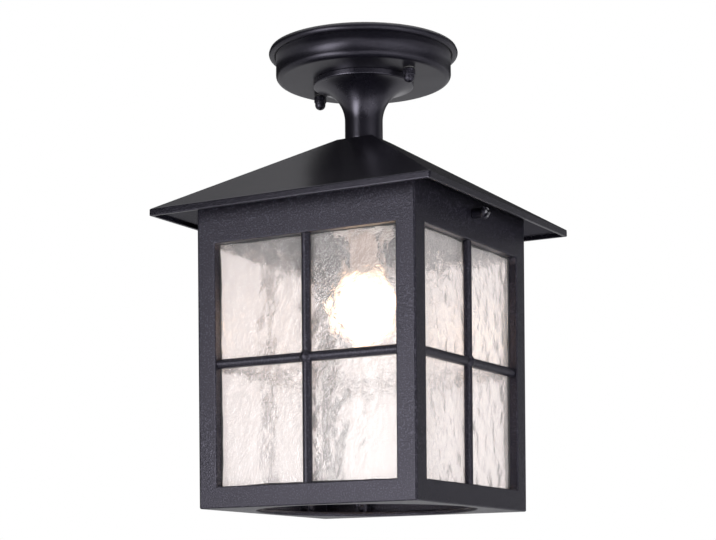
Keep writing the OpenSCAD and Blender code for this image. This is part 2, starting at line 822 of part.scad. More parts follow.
// A window's outline on its face, grown by g on every side
module window_outline(g) {
    sill_half = body_half - stile_w + lean * sill_h + g;
    head_half = body_half - stile_w + lean * head_h + g;
    polygon([[-sill_half, sill_h - g], [sill_half, sill_h - g], [head_half, head_h + g],
        [-head_half, head_h + g]]);
}

module window_slab(g, from, to) {
    translate([0, to, 0]) rotate([90, 0, 0]) linear_extrude(to - from) window_outline(g);
}

// Section of a glazing bar: round in front, cut flat at the depth of the returns
module bar_section() {
    intersection() {
        translate([0, bar_inset + bar_w / 2]) circle(d = bar_w);
        translate([-bar_w, 0]) square([2 * bar_w, return_depth]);
    }
    translate([-bar_w / 2, bar_inset + bar_w / 2])
        square([bar_w, return_depth - bar_inset - bar_w / 2]);
}

module glazing_bars() {
    bar_half = body_half - stile_w + lean * bar_v + return_t / 2;
    translate([0, 0, sill_h - return_t / 2]) linear_extrude(window_h + return_t) bar_section();
    translate([-bar_half, 0, bar_v]) rotate([0, 90, 0]) linear_extrude(2 * bar_half) bar_section();
    intersection() {
        translate([0, crossing_r + 0.9, bar_v]) sphere(r = crossing_r);
        translate([-crossing_r, 0, bar_v - crossing_r])
            cube([2 * crossing_r, return_depth, 2 * crossing_r]);
    }
}

module at_clips() {
    for (s = [-1, 1]) {
        translate([s * clip_reach, 0, low_boss_v]) children();
        translate([s * clip_reach, 0, high_boss_v]) mirror([0, 0, 1]) children();
    }
}

module lantern_body() {
    color("#2a2930") difference() {
        union() {
            difference() {
                intersection() {
                    four_sided(body_outline(0, body_foot), roof_half);
                    roof_space(body_foot - overlap);
                }
                four_sided(body_outline(body_wall, body_foot + flange_t), roof_half);
                translate([0, 0, body_foot - overlap])
                    cylinder(h = flange_t + 2 * overlap, r = bottom_hole_r);
                on_all_faces() window_slab(0, -overlap, body_wall + overlap);
            }
            on_all_faces() {
                difference() {
                    window_slab(return_t, body_wall - eps, return_depth);
                    window_slab(0, 0, return_depth + overlap);
                }
                glazing_bars();
                at_clips() translate([0, glass_back, 0]) rotate([90, 0, 0])
                    cylinder(h = glass_back - body_wall + eps, r = clip_boss_r);
            }
        }
        on_all_faces() at_clips() translate([0, glass_back + overlap, 0]) rotate([90, 0, 0])
            cylinder(h = 6 + overlap, r = clip_screw_r + thread_gap);
        for (s = [0, 180]) rotate([0, 0, s])
            translate([half_at(body_screw_z) - body_wall - overlap, 0, body_screw_z])
                rotate([0, 90, 0]) cylinder(h = body_wall + 2 * overlap, r = body_screw_r + hole_gap);
    }
}

// ---- Glass ----

module pane(i) {
    color("lightcyan", 0.35) on_face(i)
        translate([-pane_half, glass_front, sill_h - pane_lap])
            cube([2 * pane_half, glass_t, window_h + 2 * pane_lap]);
}

module pane_front() { pane(0); }

module pane_right() { pane(1); }

module pane_rear() { pane(2); }

module pane_left() { pane(3); }

module pane_seals() {
    color("#303030") on_all_faces() difference() {
        window_slab(return_t, return_depth, glass_front);
        window_slab(0, return_depth - overlap, glass_front + overlap);
    }
}

module pane_clips() {
    clip_foot = -clip_boss_r;
    clip_l = 2 * clip_boss_r + clip_boss_gap + pane_lap + 1;
    color("#2a2930") on_all_faces() at_clips() difference() {
        translate([-clip_w / 2, glass_back, clip_foot]) cube([clip_w, clip_t, clip_l]);
        translate([0, clip_back + overlap, 0]) rotate([90, 0, 0])
            cylinder(h = clip_t + 2 * overlap, r = clip_screw_r + hole_gap / 2);
    }
}

module clip_screws() {
    color("#2a2930") on_all_faces() at_clips() translate([0, clip_back, 0]) rotate([90, 0, 0]) {
        pan_head(2.7, 1.8);
        cylinder(h = clip_t + 5, r = clip_screw_r);
    }
}

// ---- Body screws ----

// Axis along +X, head outwards
module body_screw() {
    color("#1f1f23") translate([screw_seat, 0, body_screw_z]) rotate([0, -90, 0]) {
        cylinder(h = screw_seat - lug_face + lug_t + 2, r = body_screw_r);
        translate([0, 0, -screw_collar_h]) cylinder(h = screw_collar_h, r = screw_head_r - 1);
        translate([0, 0, -screw_collar_h]) pan_head(screw_head_r, screw_head_h);
    }
}

module body_screw_right() { body_screw(); }

module body_screw_left() { rotate([0, 0, 180]) body_screw(); }

// ---- Leads ----

// From a way of the terminal block over the bush, down the tube and into the ceramic body
function lamp_route(s) = [
    [s * way_pitch, block_reach - block_l / 2 + 2.5, block_mid],
    [s * way_pitch, block_reach - block_l / 2 - 3, block_mid],
    [s * 8, 11, block_mid + 1.5],
    [s * 3.5, 4, block_mid + 2.2],
    [s * 1.3, 0.6, tube_top + bush_t + 1.2],
    [s * 1.3, 0, tube_top - 3],
    [s * 1.3, 0, tube_top - 12],
    [s * 1.3, 0, (tube_top + tube_foot) / 2],
    [s * 1.3, 0, tube_foot + 12],
    [s * 1.3, 0, tube_foot + 3],
    [s * 1.6, 0, tube_foot - bush_t - 0.8],
    [s * 4.6, 0, tube_foot - bush_t - 2.6],
    [s * (lead_hole_reach - 0.4), 0, holder_top + 0.6],
    [s * lead_hole_reach, 0, holder_top - 4]
];

module live_lead() {
    color("saddlebrown") turned() lead(lamp_route(-1), [0.1, 1, 0.05]);
}

module neutral_lead() {
    color("royalblue") turned() lead(lamp_route(1), [0.1, 1, 0.05]);
}

module earth_lead() {
    tag_z = tag_top + lead_r + 0.3;
    color("yellowgreen") turned() lead([
        [0, block_reach - block_l / 2 + 2.5, block_mid],
        [0, block_reach - block_l / 2 - 3, block_mid],
        [6, 14, block_mid - 2.5],
        [15, 11.5, block_mid - 6],
        [22.5, 7, tag_z + 1],
        [21.5, 1.4, tag_z],
        [17.5, 0, tag_z],
        [12.5, 0, tag_z]
    ], [0, 0.1, 1]);
}

mounting_bracket();
bracket_studs();
stud_lock_nuts();
earth_screw();
ceiling_gasket();
ceiling_plate();
stud_seals();
cap_nut_right();
cap_nut_left();
terminal_block();
terminal_sleeves();
terminal_screws();
block_screw();
stem();
stem_tube();
tube_lock_nuts();
tube_washers();
tube_bushes();
stem_seal();
earth_tag();
roof();
holder_stirrup();
holder_screws();
holder_body();
holder_shell();
holder_contact();
lamp_cap();
lamp_insulator();
lamp_contact();
lamp_bulb();
lamp_mount();
lamp_filament();
lantern_body();
pane_front();
pane_right();
pane_rear();
pane_left();
pane_seals();
pane_clips();
clip_screws();
body_screw_right();
body_screw_left();
live_lead();
neutral_lead();
earth_lead();
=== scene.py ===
# Porch ceiling lantern: the looks of its pieces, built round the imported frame.
# Lengths in the dictionaries are millimetres, as on the drawing; meshes are made in metres.
import json
import math
from types import SimpleNamespace
import bmesh
import bpy
import numpy as np
from mathutils import Matrix, Vector

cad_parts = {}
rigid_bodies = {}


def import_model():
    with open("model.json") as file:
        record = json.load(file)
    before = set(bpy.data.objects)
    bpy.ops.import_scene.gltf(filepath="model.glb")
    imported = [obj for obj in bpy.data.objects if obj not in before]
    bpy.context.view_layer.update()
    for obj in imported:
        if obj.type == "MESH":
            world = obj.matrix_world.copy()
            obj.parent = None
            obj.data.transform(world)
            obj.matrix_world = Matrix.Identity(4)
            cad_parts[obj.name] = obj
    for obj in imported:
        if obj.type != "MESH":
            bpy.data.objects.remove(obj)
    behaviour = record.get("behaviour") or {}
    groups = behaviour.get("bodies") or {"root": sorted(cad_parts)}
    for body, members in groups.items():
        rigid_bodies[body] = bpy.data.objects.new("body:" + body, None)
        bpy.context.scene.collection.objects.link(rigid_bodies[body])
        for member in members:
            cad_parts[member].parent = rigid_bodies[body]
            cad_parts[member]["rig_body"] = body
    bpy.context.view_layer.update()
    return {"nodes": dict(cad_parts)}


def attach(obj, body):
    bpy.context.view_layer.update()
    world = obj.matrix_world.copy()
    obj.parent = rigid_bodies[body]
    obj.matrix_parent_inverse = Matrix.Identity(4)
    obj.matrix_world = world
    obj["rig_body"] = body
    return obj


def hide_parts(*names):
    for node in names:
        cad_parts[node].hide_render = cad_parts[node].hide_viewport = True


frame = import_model()
cadNodes = frame["nodes"]
mm = 0.001
scene = bpy.context.scene

print("lantern: camera and node helpers")

photoCamera = {
    "place": (0.6143, -1.0895, -0.3942),    # metres, below and to the right of the front
    "azimuth": 29.64,                       # degrees
    "pitch": 10.65,                         # it looks up
    "roll": -0.41,
    "lens": 91.56,
    "sensor": 36.0,
}


def named(table):
    # a dictionary whose entries are read as table.name in the formulas
    return SimpleNamespace(**table)


def addObject(name, data):
    obj = bpy.data.objects.new(name, data)
    scene.collection.objects.link(obj)
    return obj


def placeCamera(c):
    # looks level along +Y, then rolled about its own axis, tilted up by the pitch, turned by the azimuth
    data = bpy.data.cameras.new("lanternCamera")
    data.lens, data.sensor_width = c.lens, c.sensor
    data.clip_start, data.clip_end = 0.05, 60
    scene.camera = addObject("lanternCamera", data)
    turns = ((c.azimuth, "Z"), (90 + c.pitch, "X"), (c.roll, "Z"))
    azimuth, tilt, roll = (Matrix.Rotation(math.radians(angle), 4, axis) for angle, axis in turns)
    scene.camera.matrix_world = Matrix.Translation(c.place) @ azimuth @ tilt @ roll


placeCamera(named(photoCamera))
scene.view_settings.view_transform = "Standard"


def feed(tree, node, inputs):
    # inputs by name or number: a socket is linked, anything else is the input's own value
    for key, value in inputs.items():
        if isinstance(value, bpy.types.NodeSocket):
            tree.links.new(value, node.inputs[key])
        else:
            node.inputs[key].default_value = value


def addNode(tree, kind, inputs, out=0, **settings):
    # a shader node with its properties and inputs; gives one of its outputs, or all of them for None
    node = tree.nodes.new("ShaderNode" + kind)
    for key, value in settings.items():
        setattr(node, key, value)
    feed(tree, node, inputs)
    return node.outputs if out is None else node.outputs[out]


def addMath(tree, operation, first, second):
    return addNode(tree, "Math", {0: first, 1: second}, operation=operation)


def addNoise(tree, place, scale, detail, **more):
    return addNode(tree, "TexNoise", {"Vector": place, "Scale": scale, "Detail": detail, **more})


def addRange(tree, value, start, end, low=0.0, high=1.0, kind="SMOOTHSTEP"):
    # low up to start, high from end on, and a smooth or straight way between
    return addNode(tree, "MapRange", {"Value": value, "From Min": start, "From Max": end,
                                      "To Min": low, "To Max": high}, interpolation_type=kind)


def addRamp(tree, value, stops):
    # stops are (place, grey or colour)
    out = addNode(tree, "ValToRGB", {"Fac": value})
    elements = out.node.color_ramp.elements
    while len(elements) < len(stops):
        elements.new(0.5)
    for element, (place, tone) in zip(elements, stops):
        element.position = place
        element.color = (tone, tone, tone, 1) if isinstance(tone, float) else (*tone, 1)
    return out


def mixValues(tree, mask, low, high):
    return addNode(tree, "Mix", {0: mask, 2: low, 3: high})


def mixColours(tree, mask, low, high):
    # low and high are a colour or the socket of one
    low, high = (t if isinstance(t, bpy.types.NodeSocket) else (*t, 1) for t in (low, high))
    return addNode(tree, "Mix", {0: mask, 6: low, 7: high}, 2, data_type="RGBA")


def seenDirectly(tree, path):
    # 1 where the camera looks, also through glass
    return addMath(tree, "MAXIMUM", path["Is Camera Ray"], path["Is Transmission Ray"])


def makeSkin(name, build, *numbers):
    # a material whose shader takes the inputs that build gives, from its tree and the object's coordinates
    skin = bpy.data.materials.new(name)
    skin.use_nodes = True
    tree = skin.node_tree
    inputs = build(tree, addNode(tree, "TexCoord", {}, "Object"), *numbers)
    feed(tree, tree.nodes["Principled BSDF"], inputs)
    return skin


print("lantern: studio")

studio = {
    "plainLevel": 0.42,         # world's light on the object
    "throughGlass": 1.06,       # what glass shows of the white ground
    "glossLevel": 0.03,         # what satin metal mirrors of it, apart from the white ground behind
    "behind": (-0.489, 0.859, -0.150),
    "behindFrom": 0.90,         # cosines between which the mirrored world turns white
    "behindTo": 0.99,
    "behindLevel": 0.9,
    "overheadFrom": 0.48,       # and turns pale overhead
    "overheadLevel": 1.4,
    "floorDrop": 2.2,           # metres below the ceiling
    "floorHalf": 30.0,
    "floorColour": (0.80, 0.80, 0.81),
    "floorNear": 4.0,           # metres from its middle, between which it grows paler
    "floorAway": 24.0,
    "floorShown": 0.60,         # how much it glows for the camera and the glass, near and far
    "floorFar": 0.90,
    "floorGiven": 0.16,         # and for everything else
    "lamps": [
        # name, place, size across and high, watts, lights matt surfaces, shows in glossy ones
        ("leftBox", (-0.52, -2.20, -0.60), (1.0, 2.1), 28.5, True, True),
        ("lowBox", (-0.40, -1.10, -0.36), (0.60, 0.60), 3.2, False, True),
        ("rightBox", (2.11, -0.86, -0.60), (0.9, 2.2), 84, True, False),
        ("rightStrip", (2.11, -0.86, -0.60), (0.9, 2.2), 78, False, True),
        ("rearBox", (1.01, 2.07, 0.12), (1.5, 1.8), 2.2, True, True),
    ],
    "aim": (0, 0, -0.2),
}


def studioWorld(s):
    # white where the camera or glass looks past the object, a plain level for matt surfaces, and for
    # mirroring ones the larger of a white ground behind and a pale one overhead
    world = bpy.data.worlds.new("paleStudio")
    scene.world = world
    world.use_nodes = True
    tree = world.node_tree
    tree.nodes.clear()
    path = addNode(tree, "LightPath", {}, None)
    place = addNode(tree, "TexCoord", {}, "Generated")
    toward = addNode(tree, "VectorMath", {0: place, 1: s.behind}, "Value", operation="DOT_PRODUCT")
    ground = addRange(tree, toward, s.behindFrom, s.behindTo, s.glossLevel, s.behindLevel)
    height = addNode(tree, "SeparateXYZ", {0: place}, "Z")
    above = addRange(tree, height, s.overheadFrom, 1.0, 0.0, s.overheadLevel)
    mirrored = addMath(tree, "MAXIMUM", ground, above)
    level = mixValues(tree, path["Is Glossy Ray"], s.plainLevel, mirrored)
    shownLevel = mixValues(tree, path["Is Camera Ray"], s.throughGlass, 1.0)
    lit = addNode(tree, "Background", {"Color": (0.985, 0.98, 1, 1), "Strength": level})
    shown = addNode(tree, "Background", {"Color": (1, 1, 1, 1), "Strength": shownLevel})
    both = addNode(tree, "MixShader", {0: seenDirectly(tree, path), 1: lit, 2: shown})
    feed(tree, tree.nodes.new("ShaderNodeOutputWorld"), {"Surface": both})


def studioLamps(s):
    for name, place, (across, high), watts, matt, glossy in s.lamps:
        light = bpy.data.lights.new(name, "AREA")
        light.shape = "RECTANGLE"
        light.size, light.size_y = across, high
        light.energy = watts
        obj = addObject(name, light)
        obj.location = place
        obj.rotation_euler = (Vector(s.aim) - Vector(place)).to_track_quat("-Z", "Z").to_euler()
        obj.visible_camera = obj.visible_transmission = False
        obj.visible_diffuse, obj.visible_glossy = matt, glossy


def floorPaint(tree, place, s):
    # tone by a faint noise; the glow grows with the distance for the camera and the glass
    darker = tuple(0.97 * t for t in s.floorColour)
    tone = addRamp(tree, addNoise(tree, place, 3.0, 4.0), [(0.3, darker), (0.7, s.floorColour)])
    away = addNode(tree, "VectorMath", {0: place}, "Value", operation="LENGTH")
    shown = addRange(tree, away, s.floorNear, s.floorAway, s.floorShown, s.floorFar)
    seen = seenDirectly(tree, addNode(tree, "LightPath", {}, None))
    glow = mixValues(tree, seen, s.floorGiven, shown)
    return {"Base Color": tone, "Roughness": 0.8, "Emission Color": tone, "Emission Strength": glow}


def studioFloor(s):
    half, drop = s.floorHalf, s.floorDrop
    corners = [(-half, -half, -drop), (half, -half, -drop), (half, half, -drop), (-half, half, -drop)]
    mesh = bpy.data.meshes.new("paleFloor")
    mesh.from_pydata(corners, [], [(0, 1, 2, 3)])
    floor = addObject("paleFloor", mesh)
    mesh.materials.append(makeSkin("paleFloorPaint", floorPaint, s))


for build in (studioWorld, studioLamps, studioFloor):
    build(named(studio))

print("lantern: shared surface effects")


def makeGroup(name, build, values):
    # a node group: a vector and plain values in, and out what build gives from them
    group = bpy.data.node_groups.new(name, "ShaderNodeTree")
    group.interface.new_socket("Vector", in_out="INPUT", socket_type="NodeSocketVector")
    for label, value in values.items():
        socket = group.interface.new_socket(label, in_out="INPUT", socket_type="NodeSocketFloat")
        socket.default_value = value
    outputs = build(group, group.nodes.new("NodeGroupInput").outputs)
    for label in outputs:
        group.interface.new_socket(label, in_out="OUTPUT", socket_type="NodeSocketFloat")
    feed(group, group.nodes.new("NodeGroupOutput"), outputs)
    return group


def sprayHeights(tree, given):
    # height = coarse noise * (1 - fine) + fine noise * fine; specks are the peaks of a third noise
    place, level = given["Vector"], given["Speck level"]
    scale = addMath(tree, "DIVIDE", 1.0, given["Grain size"])
    coarse = addNoise(tree, place, scale, 1.0)
    fine = addNoise(tree, place, addMath(tree, "MULTIPLY", scale, 3.1), 1.0, Roughness=0.6)
    peaks = addRange(tree, addNoise(tree, place, scale, 0.0), level, addMath(tree, "ADD", level, 0.16))
    return {"Height": mixValues(tree, given["Fine share"], coarse, fine), "Specks": peaks,
            "Cloud": addNoise(tree, place, 26.0, 4.0)}


def wornEdges(tree, given):
    # mask = how far the surface's pointiness stands over a level, broken up by a noise
    sharp, level = addNode(tree, "NewGeometry", {}, "Pointiness"), given["Level"]
    edge = addRange(tree, sharp, level, addMath(tree, "ADD", level, given["Spread"]), kind="LINEAR")
    noise = addNoise(tree, given["Vector"], addMath(tree, "DIVIDE", 1.0, given["Patch size"]), 3.0)
    return {"Mask": addMath(tree, "MULTIPLY", edge, addRange(tree, noise, 0.42, 0.62, kind="LINEAR"))}


def upwardDust(tree, given):
    # mask = how far the surface looks up, times a soft noise
    height = addNode(tree, "SeparateXYZ", {0: addNode(tree, "NewGeometry", {}, "Normal")}, "Z")
    upward = addRange(tree, height, 0.35, 1.0, kind="LINEAR")
    patchy = addMath(tree, "MULTIPLY", upward, addNoise(tree, given["Vector"], 60.0, 5.0))
    return {"Mask": addMath(tree, "MULTIPLY", patchy, given["Amount"])}


sprayGrain = makeGroup("sprayGrain", sprayHeights,
                       {"Grain size": 0.001, "Fine share": 0.4, "Speck level": 0.6})
edgeWear = makeGroup("edgeWear", wornEdges, {"Level": 0.53, "Spread": 0.05, "Patch size": 0.004})
settledDust = makeGroup("settledDust", upwardDust, {"Amount": 0.3})


def addGroup(tree, group, place, **values):
    # the outputs of a group node; a value's name has _ for each space
    node = tree.nodes.new("ShaderNodeGroup")
    node.node_tree = group
    feed(tree, node, {"Vector": place, **{label.replace("_", " "): v for label, v in values.items()}})
    return node.outputs


def addBump(tree, height, distance):
    return addNode(tree, "Bump", {"Strength": 1.0, "Distance": distance, "Height": height})


blackCoat = named({
    "base": (0.0027, 0.0025, 0.0044), "speckTint": (1.0, 0.93, 1.3), "worn": (0.016, 0.015, 0.021),
    "dust": (0.10, 0.088, 0.080), "dustRough": 0.75, "mirrorTint": (0.86, 0.82, 1.0, 1),
    "wear": {"Level": 0.545, "Spread": 0.08, "Patch_size": 0.003},
})


def powderCoat(tree, place, grain, depth, satin, speck, dusty=0.04, mirror=0.5, c=blackCoat):
    # tone = base, mixed with a lighter one by specks, then by wear, then with dust; roughness = satin,
    # shifted by the cloud, then less by wear and more by dust
    spray = addGroup(tree, sprayGrain, place, Grain_size=grain, Fine_share=0.35, Speck_level=0.55)
    wear = addGroup(tree, edgeWear, place, **c.wear)["Mask"]
    dust = addGroup(tree, settledDust, place, Amount=dusty)["Mask"]
    tone = mixColours(tree, spray["Specks"], c.base, tuple(speck * t for t in c.speckTint))
    tone = mixColours(tree, dust, mixColours(tree, wear, tone, c.worn), c.dust)
    gloss = mixValues(tree, spray["Cloud"], satin - 0.06, satin + 0.08)
    gloss = mixValues(tree, dust, mixValues(tree, wear, gloss, satin - 0.08), c.dustRough)
    return {"Base Color": tone, "Roughness": gloss, "Specular Tint": c.mirrorTint,
            "Specular IOR Level": mirror, "Normal": addBump(tree, spray["Height"], depth)}


# the heads' lighter tops: wear to bare steel, and painted highlights on the domes
screwWearAndHighlight = named({
    "start": 0.0950, "end": 0.0958,     # metres from the lantern's middle plane
    "steel": (0.09, 0.09, 0.095), "rough": 0.45,
})


def screwCoat(tree, place, w=screwWearAndHighlight):
    # the coat, lighter on the outermost part of the heads: bare steel worn through, which also paints the
    # highlights on the domes; a step on the distance from the plane
    inputs = powderCoat(tree, place, 0.0008, 0.00003, 0.27, 0.008)
    away = addMath(tree, "ABSOLUTE", addNode(tree, "SeparateXYZ", {0: place}, "X"), 0.0)
    # the worn mask is the lighter tops: real wear, and also painted highlights
    worn = addRange(tree, away, w.start, w.end)
    inputs["Base Color"] = mixColours(tree, worn, inputs["Base Color"], w.steel)
    inputs["Roughness"] = mixValues(tree, worn, inputs["Roughness"], w.rough)
    return inputs


waterLook = named({
    "tint": (0.990, 0.946, 0.937, 1), "clear": 0.84, "bend": 1.5, "mirror": 0.2, "rough": 0.008,
    "squiggles": 480.0, "warp": 0.8, "squeeze": (0.9, 0.9, 1.15), "bump": 0.00016,
})


def waterGlass(tree, place, w=waterLook):
    # clear glass; a noise of fine squiggles is its roughness and a bump over the modelled waves
    squeezed = addNode(tree, "Mapping", {"Vector": place, "Scale": w.squeeze})
    waves = addNoise(tree, squeezed, w.squiggles, 1.0, Distortion=w.warp)
    return {"Transmission Weight": w.clear, "IOR": w.bend, "Specular IOR Level": w.mirror,
            "Base Color": w.tint, "Normal": addBump(tree, waves, w.bump),
            "Roughness": addRange(tree, waves, 0.0, 1.0, 0.0, w.rough, "LINEAR")}


def platedMetal(tree, place, pale, deep, gloss):
    # plating: cloud shifts its tone and gloss, specks are small dull spots
    spray = addGroup(tree, sprayGrain, place, Grain_size=0.0006, Fine_share=0.5, Speck_level=0.62)
    tone = mixColours(tree, spray["Cloud"], deep, pale)
    tone = mixColours(tree, spray["Specks"], tone, tuple(0.75 * t for t in deep))
    rough = mixValues(tree, spray["Cloud"], gloss + 0.1, gloss - 0.05)
    return {"Metallic": 1.0, "Base Color": tone, "Roughness": rough,
            "Normal": addBump(tree, spray["Height"], 0.00002)}


def mouldedSkin(tree, place, pale, deep, gloss, grain=0.0008, depth=0.00004):
    # moulded or glazed: tone and gloss shift with a soft cloud, over a fine texture
    spray = addGroup(tree, sprayGrain, place, Grain_size=grain, Fine_share=0.3, Speck_level=0.66)
    rough = mixValues(tree, spray["Cloud"], gloss - 0.05, gloss + 0.08)
    return {"Base Color": mixColours(tree, spray["Cloud"], deep, pale), "Roughness": rough,
            "Normal": addBump(tree, spray["Height"], depth)}


lampGlow = named({
    "strength": 8.0,
    "rim": 0.35,                    # blend of the facing value that runs along the ramp
    "ramp": [(0.0, (1.0, 0.74, 0.48)), (0.22, (0.60, 0.42, 0.27)), (0.5, (0.15, 0.097, 0.062)),
             (1.0, (0.05, 0.029, 0.017))],
    "neckFrom": -0.176, "neckTo": -0.160,       # metres, where the glow fades up the neck
    "neckTone": (0.034, 0.022, 0.016),
})


def litBulb(tree, place, g=lampGlow):
    # frosted glass that glows: white in the middle, amber to the rim by the facing value, dim up the neck
    facing = addNode(tree, "LayerWeight", {"Blend": g.rim}, "Facing")
    neck = addRange(tree, addNode(tree, "SeparateXYZ", {0: place}, "Z"), g.neckFrom, g.neckTo)
    glow = mixColours(tree, neck, addRamp(tree, facing, g.ramp), g.neckTone)
    spray = addGroup(tree, sprayGrain, place, Grain_size=0.0008, Fine_share=0.5, Speck_level=0.6)
    tone = mixColours(tree, spray["Cloud"], (0.28, 0.26, 0.24), (0.33, 0.31, 0.29))
    return {"Emission Strength": g.strength, "Emission Color": glow, "Base Color": tone,
            "Roughness": mixValues(tree, spray["Specks"], 0.32, 0.42)}


def glowingWire(tree, place):
    # the hot tone shifts with the cloud
    spray = addGroup(tree, sprayGrain, place, Grain_size=0.0006, Fine_share=0.5, Speck_level=0.5)
    hot = mixColours(tree, spray["Cloud"], (1.0, 0.70, 0.40), (1.0, 0.82, 0.58))
    return {"Emission Strength": 20.0, "Emission Color": hot, "Base Color": hot}


def bandedLead(tree, place):
    # earth lead: green and yellow by a sine of the place along it, with a quick step between
    wave = {"Vector": place, "Scale": 55.0, "Distortion": 2.0, "Detail": 0.0}
    edge = addRamp(tree, addNode(tree, "TexWave", wave, "Fac"), [(0.45, 0.0), (0.55, 1.0)])
    return {"Base Color": mixColours(tree, edge, (0.03, 0.26, 0.04), (0.62, 0.52, 0.03)), "Roughness": 0.4}


looks = {
    # coats: size and height of the grain, roughness, specks, dust, mirror level
    "black_powder_coat": ("castPowderCoat", powderCoat, 0.0010, 0.00027, 0.31, 0.024, 0.06),
    "roof_coat": ("roofPowderCoat", powderCoat, 0.0010, 0.00008, 0.23, 0.012, 0.03),
    "stem_coat": ("stemPowderCoat", powderCoat, 0.0008, 0.00003, 0.28, 0.006, 0.04, 0.8),
    "smooth_coat": ("turnedPowderCoat", powderCoat, 0.0008, 0.00003, 0.33, 0.008),
    "screw_coat": ("screwPowderCoat", screwCoat),
    "water_glass": ("waterGlass", waterGlass),
    "lamp_glass": ("litLampGlass", litBulb),
    "filament": ("glowingFilament", glowingWire),
    # the others: pale tone, deep tone, roughness, and for moulded ones also grain and height
    "zinc_steel": ("zincPlate", platedMetal, (0.66, 0.67, 0.68), (0.52, 0.53, 0.55), 0.32),
    "brass": ("turnedBrass", platedMetal, (0.74, 0.57, 0.28), (0.58, 0.42, 0.18), 0.28),
    "tinned_metal": ("tinnedSteel", platedMetal, (0.74, 0.74, 0.72), (0.60, 0.60, 0.58), 0.30),
    "nickel_shell": ("nickelPlate", platedMetal, (0.72, 0.70, 0.66), (0.60, 0.58, 0.54), 0.20),
    "foam": ("gasketFoam", mouldedSkin, (0.085, 0.085, 0.088), (0.05, 0.05, 0.052), 0.9, 0.0012, 0.0002),
    "black_rubber": ("sealRubber", mouldedSkin, (0.032, 0.032, 0.034), (0.02, 0.02, 0.021), 0.62),
    "white_plastic": ("terminalPlastic", mouldedSkin, (0.86, 0.86, 0.83), (0.80, 0.80, 0.77), 0.38),
    "lampholder_ceramic": ("glazedCeramic", mouldedSkin, (0.86, 0.83, 0.77), (0.80, 0.76, 0.69), 0.16),
    "black_glass": ("fusedInsulator", mouldedSkin, (0.022, 0.022, 0.027), (0.014, 0.014, 0.018), 0.12),
    "brown_lead": ("brownSleeve", mouldedSkin, (0.20, 0.085, 0.035), (0.15, 0.06, 0.025), 0.42),
    "blue_lead": ("blueSleeve", mouldedSkin, (0.05, 0.17, 0.45), (0.035, 0.12, 0.34), 0.42),
    "green_yellow_lead": ("greenYellowSleeve", bandedLead),
}
finishes = {finish: makeSkin(*look) for finish, look in looks.items()}

print("lantern: mesh helpers")


def spread(x, y, z):
    # a point for each place of three arrays that are stretched to one shape
    return np.stack(np.broadcast_arrays(x, y, z), -1)


def roundAngles(turns):
    return np.linspace(0, 2 * np.pi, turns, endpoint=False)


def gridFaces(rows, columns, roundRows=False, roundColumns=False):
    # four corners of each cell of a grid of points; a round direction joins its last line to its first
    r = np.arange(rows if roundRows else rows - 1)[:, None]
    c = np.arange(columns if roundColumns else columns - 1)[None, :]
    r2, c2 = (r + 1) % rows, (c + 1) % columns
    corners = (r * columns + c, r * columns + c2, r2 * columns + c2, r2 * columns + c)
    return np.stack(np.broadcast_arrays(*corners), -1).reshape(-1, 4)


def asRings(points):
    # rows of points that go round, with their cells
    return points, gridFaces(*points.shape[:2], False, True)


def finishPiece(name, node, points, faces, weld, clean, slotName, finish=None):
    # from points in metres: doubles welded, cleaned, smooth; then the material and the frame's calls
    mesh = bpy.data.meshes.new(name)
    mesh.from_pydata(points, [], faces)
    work = bmesh.new()
    work.from_mesh(mesh)
    bmesh.ops.remove_doubles(work, verts=work.verts, dist=weld * mm)
    clean(work)
    for face in work.faces:
        face.smooth = True
    work.to_mesh(mesh)
    work.free()
    obj = addObject(name, mesh)
    mesh.materials.append(finishes[finish or slotName])
    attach(obj, cadNodes[node]["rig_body"])
    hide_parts(node)
    return obj


def turnOutwards(work):
    bmesh.ops.recalc_face_normals(work, faces=work.faces)


def makePiece(name, node, parts, slotName, finish=None, weld=0.004):
    # parts, each (points in millimetres, faces), as one piece in place of one CAD node
    points = [np.asarray(p, float).reshape(-1, 3) * mm for p, _ in parts]
    starts = np.cumsum([0] + [len(p) for p in points])
    faces = np.concatenate([f + start for (_, f), start in zip(parts, starts)])
    finishPiece(name, node, np.concatenate(points), faces, weld, turnOutwards, slotName, finish)


def roundedLine(corners, steps=5, guard=0.4):
    # straight runs whose corners (x, y, radius) become arcs, with a point just before and after each
    p = np.array([c[:2] for c in corners], float)
    made = [p[0]]
    for before, here, after, r in zip(p[:-2], p[1:-1], p[2:], [c[2] for c in corners[1:-1]]):
        if r == 0:
            made.append(here)
            continue
        a, b = before - here, after - here
        la, lb = np.linalg.norm(a), np.linalg.norm(b)
        a, b = a / la, b / lb
        half = math.acos(np.clip(a @ b, -1, 1)) / 2
        reach = r / math.tan(half)
        middle = here + (a + b) / np.linalg.norm(a + b) * r / math.sin(half)
        first, last = here + a * reach - middle, here + b * reach - middle
        turn = math.pi - 2 * half
        k = np.linspace(0, 1, steps + 1)[:, None]
        arc = middle + (np.sin((1 - k) * turn) * first + np.sin(k * turn) * last) / math.sin(turn)
        if la > reach + 2 * guard:
            made.append(here + a * (reach + guard))
        made.extend(arc)
        if lb > reach + 2 * guard:
            made.append(here + b * (reach + guard))
    made.append(p[-1])
    return np.array(made)


def arcPoints(middle, r, start, end, steps):
    # part of a circle, angles in degrees
    a = np.radians(np.linspace(start, end, steps + 1))
    return np.stack([middle[0] + r * np.cos(a), middle[1] + r * np.sin(a)], -1)


def turnedShape(turns, *lines, closed=True):
    # each point (r, z) of the joined lines goes round the vertical axis: x = r cos a, y = r sin a
    a, line = roundAngles(turns), np.concatenate(lines)
    r, z = line[:, :1], line[:, 1:]
    return spread(r * np.cos(a), r * np.sin(a), z), gridFaces(len(line), turns, closed, True)


